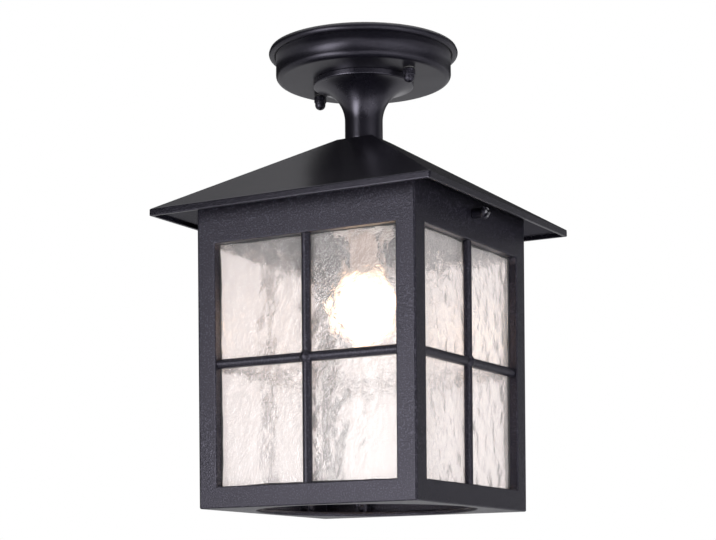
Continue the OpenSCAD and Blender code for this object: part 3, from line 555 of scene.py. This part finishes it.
def squareRings(half, corner, z, edge, circle, stile, span):
    # rounded squares: per ring a half width, corner radius, height, half width of the middle span, and the
    # radius of a circle to push it out to, or 0. stile gives the shares from the corner to the middle
    # span, span the shares across it from -1 to 1
    half, corner, z, edge, circle = (v[:, None] for v in (half, corner, z, edge, circle))
    flat = half - corner
    lead = flat + (edge - flat) * np.array(stile)
    across = np.concatenate([-lead, edge * span[1:-1], lead[:, ::-1]], 1)
    a = np.radians(np.linspace(0, 90, 7)[1:-1])
    x = np.concatenate([across, flat + corner * np.sin(a)], 1)
    y = np.concatenate([-half + 0 * across, -flat - corner * np.cos(a)], 1)
    xs = np.concatenate([x, -y, -x, y], 1)
    ys = np.concatenate([y, x, -y, -x], 1)
    grow = np.where(circle > 0, circle / np.hypot(xs, ys), 1.0)
    return spread(xs * grow, ys * grow, z)


def bevelledCopy(name, slotName, bevel):
    # a copy of a CAD solid: merged, flat faces joined, sharp edges bevelled; no bevel means a round lead,
    # whose eight sides are subdivided
    source, sharp = cadNodes[name].data, math.radians(30)
    points, loops = np.empty((len(source.vertices), 3)), np.empty((len(source.loops) // 3, 3), int)
    source.vertices.foreach_get("co", points.ravel())
    source.loops.foreach_get("vertex_index", loops.ravel())

    def clean(work):
        bmesh.ops.dissolve_limit(work, angle_limit=math.radians(0.5), verts=work.verts, edges=work.edges)
        for e in work.edges:
            if bevel and len(e.link_faces) == 2 and e.calc_face_angle(0) > sharp:
                e.smooth = False

    obj = finishPiece(name + "_dressed", name, points, loops, 0.002, clean, slotName)
    if bevel:
        soften = obj.modifiers.new("softEdges", "BEVEL")
        soften.width, soften.segments = bevel * mm, 2
        soften.limit_method, soften.angle_limit = "ANGLE", sharp
        soften.harden_normals = True
    else:
        finer = obj.modifiers.new("roundSides", "SUBSURF")
        finer.levels = finer.render_levels = 1


print("lantern: ceiling plate and stem")

plate = named({
    "wallR": 62.3, "depth": 22.6, "metal": 1.8, "edgeR": 4.1, "lipR": 2.7, "lipReach": 2.4,
    "gasket": 1.0, "gasketWidth": 3.8, "holeR": 5.3,
})


def ceilingPlate(p):
    # dish turned from its section: face, rounded edge, wall, rolled lip, and the same wall inside
    lipMiddle = (p.wallR + p.lipReach, -p.lipR)
    meet = math.degrees(math.acos(p.lipReach / p.lipR))
    meetZ = lipMiddle[1] - p.lipR * math.sin(math.radians(meet))
    flatTop = math.degrees(math.asin((p.lipR - p.gasket) / p.lipR))
    face, floor = -p.depth, -p.depth + p.metal
    inner = p.wallR - p.metal
    outside = roundedLine([
        (p.holeR, floor, 0), (p.holeR, face, 0.3), (p.wallR, face, p.edgeR), (p.wallR, meetZ, 0)], 10)
    lip = arcPoints(lipMiddle, p.lipR, 180 + meet, 360 + flatTop, 26)
    inside = roundedLine([
        (inner + 2, -p.gasket, 0), (inner, -p.gasket, 0.5), (inner, floor, p.edgeR - p.metal),
        (p.holeR + 1, floor, 0)], 8)
    return turnedShape(192, outside, lip, inside)


def foamRing(p):
    # a rectangle with rounded corners, turned
    middle = p.wallR + p.lipReach
    low, high = middle - p.gasketWidth / 2, middle + p.gasketWidth / 2
    section = roundedLine([
        (middle, 0, 0), (high, 0, 0.35), (high, -p.gasket, 0.35), (low, -p.gasket, 0.35),
        (low, 0, 0.35), (middle, 0, 0)], 3, 0.2)
    return turnedShape(160, section[:-1])


makePiece("ceiling_plate_dish", "ceiling_plate", [ceilingPlate(plate)], "black_powder_coat", "smooth_coat")
makePiece("ceiling_gasket_ring", "ceiling_gasket", [foamRing(plate)], "foam")

trumpet = named({
    "top": -22.6, "foot": -66.4, "r": 13.4, "flangeR": 35.7, "flareR": 25.7, "flangeEdge": 4.2,
    "edgeR": 1.2, "metal": 2.6, "rim": 8.0, "holeR": 5.3, "sealR": 9.2, "sealDepth": 1.0,
})


def trumpetStem(t):
    # turned shell: straight neck, hollow flare of one radius, thin flange with a rounded edge
    flareX = t.r + t.flareR
    edgeZ = t.top - t.flangeEdge
    flareZ = edgeZ - math.sqrt(t.flareR ** 2 - (flareX - t.flangeR) ** 2)
    lastAngle = math.degrees(math.acos((t.flangeR - t.edgeR - flareX) / t.flareR))
    lastZ = flareZ + t.flareR * math.sin(math.radians(lastAngle))
    inR, inFlare, rimR = t.r - t.metal, t.flareR + t.metal, t.flangeR - t.rim
    innerAngle = math.degrees(math.acos((rimR - flareX) / inFlare))
    innerZ = flareZ + inFlare * math.sin(math.radians(innerAngle))
    floor, sealZ = t.foot + t.metal, t.foot + t.sealDepth
    foot = roundedLine([
        (t.holeR, floor, 0), (t.holeR, sealZ, 0), (t.sealR, sealZ, 0), (t.sealR, t.foot, 0.2),
        (t.r, t.foot, 0.5), (t.r, flareZ - 0.5, 0)], 4, 0.3)
    flare = arcPoints((flareX, flareZ), t.flareR, 180, lastAngle, 30)
    edge = roundedLine([
        (t.flangeR - t.edgeR, lastZ, 0), (t.flangeR, lastZ + 0.15, t.edgeR * 0.8), (t.flangeR, t.top, 0.3),
        (rimR, t.top, 0.3), (rimR, innerZ, 0)], 5, 0.3)
    inside = arcPoints((flareX, flareZ), inFlare, innerAngle, 180, 20)
    bottom = np.array([(inR, floor + 0.5), (inR - 0.5, floor)])
    return turnedShape(144, foot, flare[1:], edge[1:], inside[1:], bottom)


makePiece("stem_trumpet", "stem", [trumpetStem(trumpet)], "black_powder_coat", "stem_coat")

print("lantern: roof")

roofCast = named({
    "half": 107.7, "flat": 14.2, "top": -66.4, "rise": 57.0, "fascia": 4.7, "metal": 2.5,
    "ridgeR": 1.1, "edgeR": 0.8, "holeR": 5.3,
    "lugFace": 80.9925, "lugThick": 6.0, "lugWidth": 14.0, "lugFoot": -135.7,
})


def roofShell(p):
    # square rings down the outside of the pyramid, round its turned-down edge and up the inside
    slope = p.rise / (p.half - p.flat)
    drop = p.metal * math.hypot(1, slope)
    fasciaTop = p.top - p.rise
    fasciaFoot = fasciaTop - p.fascia
    inner = p.half - p.metal
    innerTop = fasciaTop - drop + slope * p.metal
    line = roundedLine([
        (p.holeR, p.top - drop, 0), (p.holeR, p.top, 0.25), (p.flat, p.top, 1.5),
        (0.5 * (p.flat + p.half), p.top - 0.5 * p.rise, 0),
        (p.half, fasciaTop, p.edgeR), (p.half, fasciaFoot, 0.6), (inner, fasciaFoot, 0.5),
        (inner, innerTop, 0.8), (0.5 * (p.flat + inner), 0.5 * (p.top - drop + innerTop), 0),
        (p.flat, p.top - drop, 1.0), (p.holeR + 1, p.top - drop, 0)], 5)
    half, z = line[:, 0], line[:, 1]
    corner = np.minimum(0.45 * half, p.ridgeR)
    circle = np.where(half < p.holeR + 1.5, half, 0)
    rings = squareRings(half, corner, z, 0.5 * half, circle, [0, 0.02, 0.3, 1], np.linspace(-1, 1, 9))
    return rings, gridFaces(*rings.shape[:2], True, True)


def softBlock(low, high, r):
    # a box with rounded edges: a rounded square carried up, drawn in by r at both ends
    low, high = np.array(low, float), np.array(high, float)
    size, middle = (high - low) / 2, (high + low) / 2
    a = np.radians([0, 30, 60, 90])
    z = np.concatenate([-size[2] + r - r * np.cos(a), size[2] - r + r * np.sin(a)])
    draw = np.concatenate([r - r * np.sin(a), r - r * np.cos(a)])
    corner = np.maximum(r - draw, 0)[:, None]
    cx, cy = size[0] - r, size[1] - r
    u, v = corner * np.sin(a), corner * np.cos(a)
    ring = spread(np.concatenate([cx + u, cx + v, -cx - u, -cx - v], 1),
                  np.concatenate([-cy - v, cy + u, cy + v, -cy - u], 1), z[:, None]) + middle
    count, last = ring.shape[1], ring.shape[0] * ring.shape[1]
    pole = np.array([[middle[0], middle[1], low[2]], [middle[0], middle[1], high[2]]])
    k = np.arange(count)
    caps = [np.stack([first + k, first + (k + 1) % count, 0 * k + tip, 0 * k + tip], -1)
            for first, tip in ((0, last), (last - count, last + 1))]
    return np.concatenate([ring.reshape(-1, 3), pole]), np.concatenate([asRings(ring)[1], *caps])


def turnAbout(part, degrees):
    # the same part turned about the lantern's vertical axis
    points, faces = part
    a = math.radians(degrees)
    spin = np.array([[math.cos(a), -math.sin(a), 0], [math.sin(a), math.cos(a), 0], [0, 0, 1]])
    return np.asarray(points).reshape(-1, 3) @ spin.T, faces


def roofLug(p, side):
    # a block down from the roof's underside, which a body screw holds
    slope = p.rise / (p.half - p.flat)
    high = p.top - p.metal - slope * (p.lugFace - p.flat) - 0.8
    low = (p.lugFace - p.lugThick, -p.lugWidth / 2, p.lugFoot)
    return turnAbout(softBlock(low, (p.lugFace, p.lugWidth / 2, high), 0.8), side)


makePiece("roof_pyramid", "roof", [roofShell(roofCast), roofLug(roofCast, 0), roofLug(roofCast, 180)],
          "black_powder_coat", "roof_coat")

print("lantern: body")

casting = named({
    "half": 82.0, "lean": math.tan(math.radians(0.69)), "foot": -325.93, "height": 213.7, "wall": 3.0,
    "flange": 3.0, "holeR": 75.4, "sill": 14.4, "head": 178.8, "stile": 14.3,
    "returnDepth": 6.2, "returnThick": 2.4, "cornerR": 1.5, "edgeR": 0.8, "innerR": 0.8,
    "barWidth": 6.4, "barInset": 1.5, "bossR": 4.8, "bossDepth": 4.45,
    "clipReach": 45.0, "clipLow": 6.2, "clipHigh": 187.0, "clipBossR": 3.2, "clipBossEnd": 10.0,
})


def onFace(local, i, c=casting):
    # (along the face, depth into the lantern, height up the face) to the lantern's own axes
    local = np.asarray(local, float)
    along, depth, up = local[..., 0], local[..., 1], local[..., 2]
    out = c.half + c.lean * up - depth
    turn = [(along, -out), (out, along), (-along, out), (-out, -along)][i]
    return np.stack([turn[0], turn[1], c.foot + up], -1)


windowSpan = np.linspace(-1, 1, 25)
windowRise = np.linspace(0, 1, 31)


def windowHalf(up, c=casting):
    # the window widens with the face's lean
    return c.half - c.stile + c.lean * up


def bodyShell(c):
    # square rings up the outside, over the top, down the inside and round the flange's hole;
    # the cells inside each window are left out
    f, g = c.edgeR, c.returnThick
    topZ, innerR, openHeight = c.height, c.innerR, c.head - c.sill
    bottom = roundedLine([
        (c.holeR, c.flange, 0), (c.holeR, 0, 0.7), (c.half, 0, 1.0), (c.half, 8, 0)], 5)
    rows = []       # inset from the outside, height, corner radius, middle span's half width, circle
    for r, up in bottom:
        onRound = r < c.holeR + 1.2
        rows.append((c.half - r, up, 1.0 if onRound else c.cornerR, windowHalf(up) + f - 3 * onRound,
                     r if onRound else 0))
    outerUps = np.concatenate([
        [c.sill - f - 0.4], c.sill - f + windowRise * (openHeight + 2 * f), [c.head + f + 0.4],
        [topZ - 12, topZ - 0.5]])
    rows += [(0, up, c.cornerR, windowHalf(up) + f, 0) for up in outerUps]
    rows += [(0.5, topZ, c.cornerR, windowHalf(topZ) + f, 0),
             (c.wall - 0.5, topZ + 1.4, innerR, windowHalf(topZ) + g, 0)]
    innerUps = np.concatenate([
        [topZ + 0.9, topZ - 12], [c.head + g + 0.4], (c.sill - g + windowRise * (openHeight + 2 * g))[::-1],
        [c.sill - g - 0.4], [c.flange + 1.0]])
    rows += [(c.wall, up, innerR, windowHalf(up) + g, 0) for up in innerUps]
    rows += [(c.wall + 0.3, c.flange + 0.3, innerR, windowHalf(0) + g, 0),
             (c.wall + 1.0, c.flange, innerR, windowHalf(0) + g - 1, 0),
             (0, c.flange, 1.0, windowHalf(0) - 3, c.holeR + 0.8)]
    inset, up, corner, edge, circle = np.array(rows, float).T
    half = np.where(circle > 0, c.holeR, c.half + c.lean * up - inset)
    half = np.where((circle == 0) & (up < 2), c.half - inset, half)
    stile = [0, 0.03, 0.5, 0.94, 1]
    rings = squareRings(half, corner, c.foot + up, edge, circle, stile, windowSpan)
    faces = gridFaces(*rings.shape[:2], True, True)
    # leave out the windows' cells: by ring number and by place along each side
    count = rings.shape[1]
    row, column = faces[:, 0] // count, faces[:, 0] % count % (count // 4)
    steps = len(windowRise) - 1
    outCell, inCell = ((row >= first) & (row < first + steps)
                       for first in (len(bottom) + 1, len(bottom) + len(outerUps) + 5))
    inWindow = (column >= len(stile) - 1) & (column < len(stile) + len(windowSpan) - 2)
    return rings, faces[~(inWindow & (outCell | inCell))]


def windowLoop(grow, c=casting):
    # points round the window's outline, grown on every side: sill, right, head, left
    low, high = c.sill - grow, c.head + grow
    up = low + windowRise * (high - low)
    halfUp = windowHalf(up) + grow
    sides = [(windowSpan * halfUp[0], 0 * windowSpan + low), (halfUp, up),
             (windowSpan[::-1] * halfUp[-1], 0 * windowSpan + high), (-halfUp[::-1], up[::-1])]
    return np.concatenate([np.stack(side, -1)[:-1] for side in sides])


def onLoops(loops, depths, i):
    # window outlines, each at its own depth, on face i
    return onFace(spread(loops[..., 0], np.array(depths)[:, None], loops[..., 1]), i)


def windowReturn(c, i):
    # the window's section carried round its outline: rounded outer edge, reveal, lip and back to the wall
    section = roundedLine([
        (c.edgeR * 2, 0, 0), (0, 0, c.edgeR), (0, c.returnDepth, 0.4),
        (c.returnThick, c.returnDepth, 0.4), (c.returnThick, c.wall, 0)], 4, 0.3)
    section = section[np.argmax(section[:, 0] < c.edgeR + 0.01):]
    return asRings(onLoops(np.stack([windowLoop(grow) for grow, _ in section]), section[:, 1], i))


def glazingBars(c, i):
    # the bar's section, round in front and flat behind, carried up the window's middle and across it, and
    # a domed boss where they cross
    r, back = c.barWidth / 2, c.returnDepth
    side, depth = np.concatenate([
        arcPoints((0, c.barInset + r), r, 180, 360, 16),
        [(r, back - 0.5), (r - 0.5, back), (0.5 - r, back), (-r, back - 0.5)]]).T
    mid, reach, past = (c.sill + c.head) / 2, c.bossR, 1.2
    ups = np.linspace(c.sill - past, c.head + past, 30)[:, None]
    along = windowHalf(mid) + past
    spans = np.linspace(-along, along, 26)[:, None]
    dome = np.concatenate([
        arcPoints((0, 0), reach, 90, 8, 10),
        [(reach + 0.25, -0.2), (reach + 0.2, -0.9), (reach - 0.6, -0.95), (0, -0.95)]])
    bars = (spread(side, depth, ups), spread(spans, depth, mid + side))
    boss = faceStud(dome * (1, -1) + (0, c.bossDepth), 0, mid, i, 40)
    return [asRings(onFace(bar, i)) for bar in bars] + [boss]


def faceStud(profile, along, up, i, turns=28):
    # (r, depth) turned about an axis square to the face
    profile = np.asarray(profile, float)
    a, r, depth = roundAngles(turns), profile[:, :1], profile[:, 1:]
    return asRings(onFace(spread(along + r * np.cos(a), depth, up + r * np.sin(a)), i))


def lanternBody(c):
    # the shell, and per face its window, bars and four hollow studs for the pane clips
    parts = [bodyShell(c)]
    r, wall, end = c.clipBossR, c.wall, c.clipBossEnd
    bossLine = [(r + 0.8, wall - 0.3), (r + 0.15, wall + 0.5), (r, wall + 1.5), (r, end - 0.4),
                (r - 0.4, end), (1.6, end), (1.55, end - 4)]
    for i in range(4):
        parts += [windowReturn(c, i), *glazingBars(c, i)]
        parts += [faceStud(bossLine, along, up, i) for along in (-c.clipReach, c.clipReach)
                  for up in (c.clipLow, c.clipHigh)]
    return parts


makePiece("lantern_body_casting", "lantern_body", lanternBody(casting), "black_powder_coat", weld=0.03)

print("lantern: panes")

waterPane = named({
    "front": 7.0, "thick": 3.0, "half": 71.47, "low": 10.4, "high": 182.8, "step": 1.15,
    "frontIn": 0.35, "backIn": 0.6,     # how far each skin's mean lies inside the rim's plane
    "rimFade": 3.0, "most": 0.9,        # where the figure fades at the rim, and its largest height
    "waveSpread": 15.0,         # millimetres from crest to crest of the slow waves
    "waveHeight": 0.12,         # their root mean square
    "rippleSpread": 6.0,
    "rippleHeight": 0.045,
    "outerShare": 0.25,         # how much of it shows on the outer face
    "stretch": 1.15,            # the figure is longer up the pane than across it
})


def rolledFigure(rng, rows, columns, step, crest, stretch):
    # seeded white noise, filtered to a band round one wavelength by its transform, scaled to a spread of 1
    noise = np.fft.rfft2(rng.standard_normal((rows, columns)))
    fy = np.fft.fftfreq(rows, step)[:, None] * stretch
    fx = np.fft.rfftfreq(columns, step)[None, :]
    band = np.exp(-((np.hypot(fx, fy) * crest - 1.0) / 0.42) ** 2)
    figure = np.fft.irfft2(noise * band, (rows, columns))
    return figure / figure.std()


def paneSlab(p, i, seed):
    # front and back skins and four edge strips; depth = plane + fade * (set-in + figure), where the figure
    # is slow waves + ripples and fade goes to nothing at the rim
    rng = np.random.default_rng(seed)
    columns = int(2 * p.half / p.step) + 1
    rows = int((p.high - p.low) / p.step) + 1
    slow, quick = ([rolledFigure(rng, rows, columns, p.step, width, p.stretch) for _ in range(2)]
                   for width in (p.waveSpread, p.rippleSpread))
    x = np.linspace(-p.half, p.half, columns)[None, :]
    up = np.linspace(p.low, p.high, rows)[:, None]
    rim = np.minimum(np.minimum(p.half - np.abs(x), up - p.low), p.high - up)
    fade = np.clip(rim / p.rimFade, 0, 1)
    heights = [fade * np.clip(p.waveHeight * s + p.rippleHeight * q, -p.most, p.most)
               for s, q in zip(slow, quick)]
    front = p.front + fade * p.frontIn + p.outerShare * heights[0]
    back = np.minimum(p.front + p.thick - fade * p.backIn + heights[1], p.front + p.thick)
    skins = [onFace(spread(x, depth, up), i) for depth in (front, back)]
    parts = [(skin, gridFaces(rows, columns)) for skin in skins]
    for pick in ((slice(None), 0), (slice(None), -1), (0, slice(None)), (-1, slice(None))):
        strip = np.stack([skin[pick] for skin in skins])
        parts.append((strip, gridFaces(*strip.shape[:2])))
    return parts


for number, side in enumerate(("front", "right", "rear", "left")):
    makePiece(f"pane_{side}_water", f"pane_{side}", paneSlab(waterPane, number, 41 + number), "water_glass")

paneBead = named({"outer": 2.2, "front": 6.24, "back": 6.96, "least": 0.15, "most": 1.15, "lump": 7.0})


def sealBeads(b):
    # flat bead round each window's outline; its inner edge = outline + reach inwards, where reach runs
    # between least and most by a smooth random line round the loop
    parts = []
    for i in range(4):
        rng = np.random.default_rng(60 + i)
        edge, oneIn = windowLoop(0.0), windowLoop(-1.0)
        count = len(edge)
        wave = np.fft.rfft(rng.standard_normal(count))
        wave = np.fft.irfft(wave * np.exp(-(np.arange(len(wave)) / b.lump / 3) ** 2), count)
        share = np.clip(0.5 + wave / wave.std() / 3.5, 0, 1)
        reach = (b.least + (b.most - b.least) * share)[:, None]
        outer = windowLoop(b.outer)
        inner = [edge + k * reach * (oneIn - edge) for k in (0.85, 1.0, 1.0, 0.8)]
        mid = (b.front + b.back) / 2
        depths = [b.front, b.front, mid - 0.15, mid + 0.15, b.back, b.back]
        parts.append((onLoops(np.stack([outer, *inner, outer]), depths, i), gridFaces(6, count, True, True)))
    return parts


makePiece("pane_seal_beads", "pane_seals", sealBeads(paneBead), "black_rubber")

print("lantern: lamp and lampholder")

lampSizes = named({
    "bulbR": 25.0, "bulbZ": -186.83, "neckR": 12.4, "curveR": 42.0, "glass": 0.8, "neckTop": -125.33,
    "capR": 13.0, "capTop": -114.83, "capFoot": -135.33, "capMetal": 0.5, "capHoleR": 8.0,
    "pitch": 3.63, "threadDepth": 0.85,
})


def bulbLine(s, inset):
    # round end, hollow curve into the neck, straight neck; the same line again, inset, for the inside
    reach = s.neckR + s.curveR
    middleZ = s.bulbZ + math.sqrt((s.bulbR + s.curveR) ** 2 - reach ** 2)
    tangent = math.degrees(math.atan2(middleZ - s.bulbZ, reach))
    ball = arcPoints((0, s.bulbZ), s.bulbR - inset, -90, tangent, 44)
    hollow = arcPoints((reach, middleZ), s.curveR + inset, 180 + tangent, 180, 22)
    return np.concatenate([ball, hollow[1:], [(s.neckR - inset, s.neckTop)]])


def bulbShell(s):
    # the outer line down and the inner one back, turned
    return turnedShape(96, bulbLine(s, 0), bulbLine(s, s.glass)[::-1], closed=False)


def threadedSleeve(r, metal, depth, pitch, low, high, turns=72, perTurn=8, ease=1.5):
    # radius = r - depth * (1 + cos of the place along the helix) / 2, eased to nothing at both ends
    rows = int((high - low) / pitch * perTurn) + 1
    z = np.linspace(low, high, rows)[:, None]
    a = roundAngles(turns)
    fade = np.clip(np.minimum(z - low, high - z) / ease, 0, 1)
    cut = depth * fade * (0.5 + 0.5 * np.cos(2 * np.pi * z / pitch - a))
    walls = [spread(w * np.cos(a), w * np.sin(a), z) for w in (r - cut, r - metal - cut)]
    return np.concatenate([walls[0], walls[1][::-1]]), gridFaces(2 * rows, turns, True, True)


def lampCap(s):
    # threaded sleeve, and a turned shoulder with a hole for the insulator
    r, top, metal = s.capR, s.capTop, s.capMetal
    sleeve = threadedSleeve(r, metal, s.threadDepth, s.pitch, s.capFoot, top - 1.0)
    shoulder = roundedLine([
        (s.capHoleR, top - metal, 0), (s.capHoleR, top, 0), (r - 1.2, top, 0.6), (r, top - 1.0, 0.3),
        (r, top - 1.4, 0), (r - metal, top - 1.4, 0)], 4, 0.1)
    return [sleeve, turnedShape(72, shoulder)]


makePiece("lamp_bulb_glass", "lamp_bulb", [bulbShell(lampSizes)], "lamp_glass")
makePiece("lamp_cap_thread", "lamp_cap", lampCap(lampSizes), "nickel_shell")

holder = named({
    "top": -89.53, "foot": -133.53, "r": 19.5, "rimR": 20.5, "rimHeight": 3.0, "boreR": 14.15,
    "boreTop": -104.03,
})
shellThread = {"r": 14.1, "metal": 0.5, "depth": 0.5, "pitch": 3.63, "low": -132.03, "high": -105.03}


def holderBody(h):
    # glazed cup turned from its section: domed shoulder, groove, rim and a blind bore
    rimTop = h.foot + h.rimHeight
    section = roundedLine([
        (0, h.top, 0), (h.r, h.top, 3.0), (h.r, rimTop, 0.6), (h.rimR, rimTop, 0.8), (h.rimR, h.foot, 1.0),
        (h.boreR, h.foot, 0.6), (h.boreR, h.boreTop, 0.8), (0, h.boreTop, 0)], 5)
    return turnedShape(96, section, closed=False)


makePiece("holder_body_ceramic", "holder_body", [holderBody(holder)], "lampholder_ceramic")
makePiece("holder_shell_thread", "holder_shell", [threadedSleeve(**shellThread)], "nickel_shell")

print("lantern: nuts, screws and tube")

bracketTurn = -17.7         # degrees, the plate's studs about the vertical axis
studReach = 46.574          # from that axis

capNut = named({
    "top": -23.7, "flats": 8.0, "hexHeight": 4.8, "domeHeight": 5.2, "domeR": 3.8,
    "boreR": 2.55, "boreTop": -31.0,
})


def domedNut(n, side):
    # radius = the smallest of a hexagon, a circle that blunts its corners and a cone that chamfers its ends;
    # below it the dome
    a, half = roundAngles(72), n.flats / 2
    foot = n.top - n.hexHeight
    z = n.top - np.array([0, 0.15, 0.35, 0.6, 0.9, 1.2, 2.4, 3.6, 3.9, 4.2, 4.45, 4.65, 4.8])[:, None]
    hexagon = np.minimum(half / np.cos(np.mod(a, np.pi / 3) - np.pi / 6), half / math.cos(math.pi / 6) - 0.12)
    hexWall = np.minimum(hexagon, half - 0.1 + 1.3 * np.minimum(n.top - z, z - foot))
    ball = arcPoints((0, foot - n.domeHeight + n.domeR), n.domeR, 0, -90, 14)
    ball = np.concatenate([[(n.domeR + 0.05, foot), (n.domeR, foot - 0.2)], ball])
    bore = np.array([(0, n.boreTop), (n.boreR, n.boreTop), (n.boreR, n.top - 0.4), (n.boreR + 0.4, n.top)])
    r = np.concatenate([bore[:, :1] + 0 * a, hexWall, ball[:, :1] + 0 * a])
    heights = np.concatenate([bore[:, 1:], z, ball[:, 1:]])
    rings = spread(side * studReach + r * np.cos(a), r * np.sin(a), heights)
    return turnAbout(asRings(rings), bracketTurn)


for side, sign in (("right", 1), ("left", -1)):
    makePiece(f"cap_nut_{side}_domed", f"cap_nut_{side}", [domedNut(capNut, sign)], "black_powder_coat")

bodyScrew = named({
    "z": -128.7, "seat": 84.58, "collar": 8.5, "collarR": 3.6, "headR": 4.6, "headHeight": 3.8,
    "threadR": 2.5, "threadEnd": 72.99, "pitch": 0.8, "threadDepth": 0.4,
    "slotHalf": 1.05, "slotReach": 4.3, "slotDepth": 2.6, "slotEase": 0.3,
})


def crossHead(s, a):
    # x, y and rise of rings at angles a: a ball's cap, less a cross of two eased arms that grows shallower
    # outwards
    r, height, wide, far = s.headR, s.headHeight, s.slotHalf, s.slotReach
    out = np.linspace(0, 1, 26)[:, None] * r
    ball = (r * r + height * height) / (2 * height)
    rise = np.sqrt(np.maximum(ball ** 2 - out ** 2, 0)) - (ball - height)
    x, y = out * np.cos(a), out * np.sin(a)

    def within(v, limit):
        return np.clip((limit - np.abs(v)) / s.slotEase + 0.5, 0, 1)

    u, v = (x + y) / math.sqrt(2), (x - y) / math.sqrt(2)
    arm = np.maximum(within(u, wide) * within(v, far), within(v, wide) * within(u, far))
    taper = np.clip(1 - 0.25 * np.hypot(x, y) / far, 0, 1)
    return x, y, rise - s.slotDepth * taper * arm * arm * (3 - 2 * arm)


def bodyScrewPiece(s, side):
    # rings along X: cross-recessed domed head, collar, thread of radius r - depth * (1 + cos) / 2, tip
    flange, seat, a = s.seat + s.collar, s.seat, roundAngles(96)
    x, y, rise = crossHead(s, a)
    collar = roundedLine([
        (s.headR, flange, 0), (s.headR - 0.05, flange - 0.3, 0), (s.collarR, flange - 0.45, 0.3),
        (s.collarR, seat, 0.4), (s.threadR, seat, 0), (s.threadR, seat - 3.4, 0)], 4, 0.2)
    run = np.linspace(seat - 3.4, s.threadEnd, 90)[:, None]
    r = s.threadR - s.threadDepth * (0.5 + 0.5 * np.cos(2 * np.pi * run / s.pitch - a))
    r = np.where(run < s.threadEnd + 0.5, r - 0.3, r)
    lines = [(flange + rise, x, y)]
    for out, radius in ((collar[:, 1:], collar[:, :1]), (run, r), (np.array([[s.threadEnd]]), 0)):
        lines.append((out, radius * np.cos(a), radius * np.sin(a)))
    rings = np.concatenate([spread(out, u, s.z + v) for out, u, v in lines])
    return turnAbout(asRings(rings), side)


for side, turn in (("right", 0), ("left", 180)):
    makePiece(f"body_screw_{side}_head", f"body_screw_{side}", [bodyScrewPiece(bodyScrew, turn)],
              "black_powder_coat", "screw_coat")

tubeThread = {
    "r": 5.0, "metal": 1.2, "depth": 0.45, "pitch": 1.0, "low": -82.53, "high": -10.0, "turns": 48,
    "perTurn": 6, "ease": 0.8,
}
makePiece("stem_tube_thread", "stem_tube", [threadedSleeve(**tubeThread)], "zinc_steel")

# the small hardware keeps its solids' shapes, with softened edges: finish, then nodes and edges in mm
hardware = [
    ("zinc_steel", {"mounting_bracket": 0.3, "bracket_studs": 0.4, "stud_lock_nuts": 0.3}),
    ("brass", {"earth_screw": 0.2}),
    ("black_rubber", {"stud_seals": 0.15}),
    ("white_plastic", {"terminal_block": 0.25}),
    ("brass", {"terminal_sleeves": 0.1, "terminal_screws": 0.1}),
    ("zinc_steel", {"block_screw": 0.15, "tube_lock_nuts": 0.4, "tube_washers": 0.2}),
    ("white_plastic", {"tube_bushes": 0.2}),
    ("black_rubber", {"stem_seal": 0.15}),
    ("tinned_metal", {"earth_tag": 0.1, "holder_stirrup": 0.3}),
    ("zinc_steel", {"holder_screws": 0.2}),
    ("brass", {"holder_contact": 0.1}),
    ("black_glass", {"lamp_insulator": 0.3}),
    ("tinned_metal", {"lamp_contact": 0.2}),
    ("lamp_glass", {"lamp_mount": 0.1}),
    ("filament", {"lamp_filament": 0.1}),
    ("black_powder_coat", {"pane_clips": 0.15, "clip_screws": 0.2}),
    ("brown_lead", {"live_lead": 0}),
    ("blue_lead", {"neutral_lead": 0}),
    ("green_yellow_lead", {"earth_lead": 0}),
]
for slotName, edges in hardware:
    for nodeName, bevel in edges.items():
        bevelledCopy(nodeName, slotName, bevel)

print("lantern: pieces built")
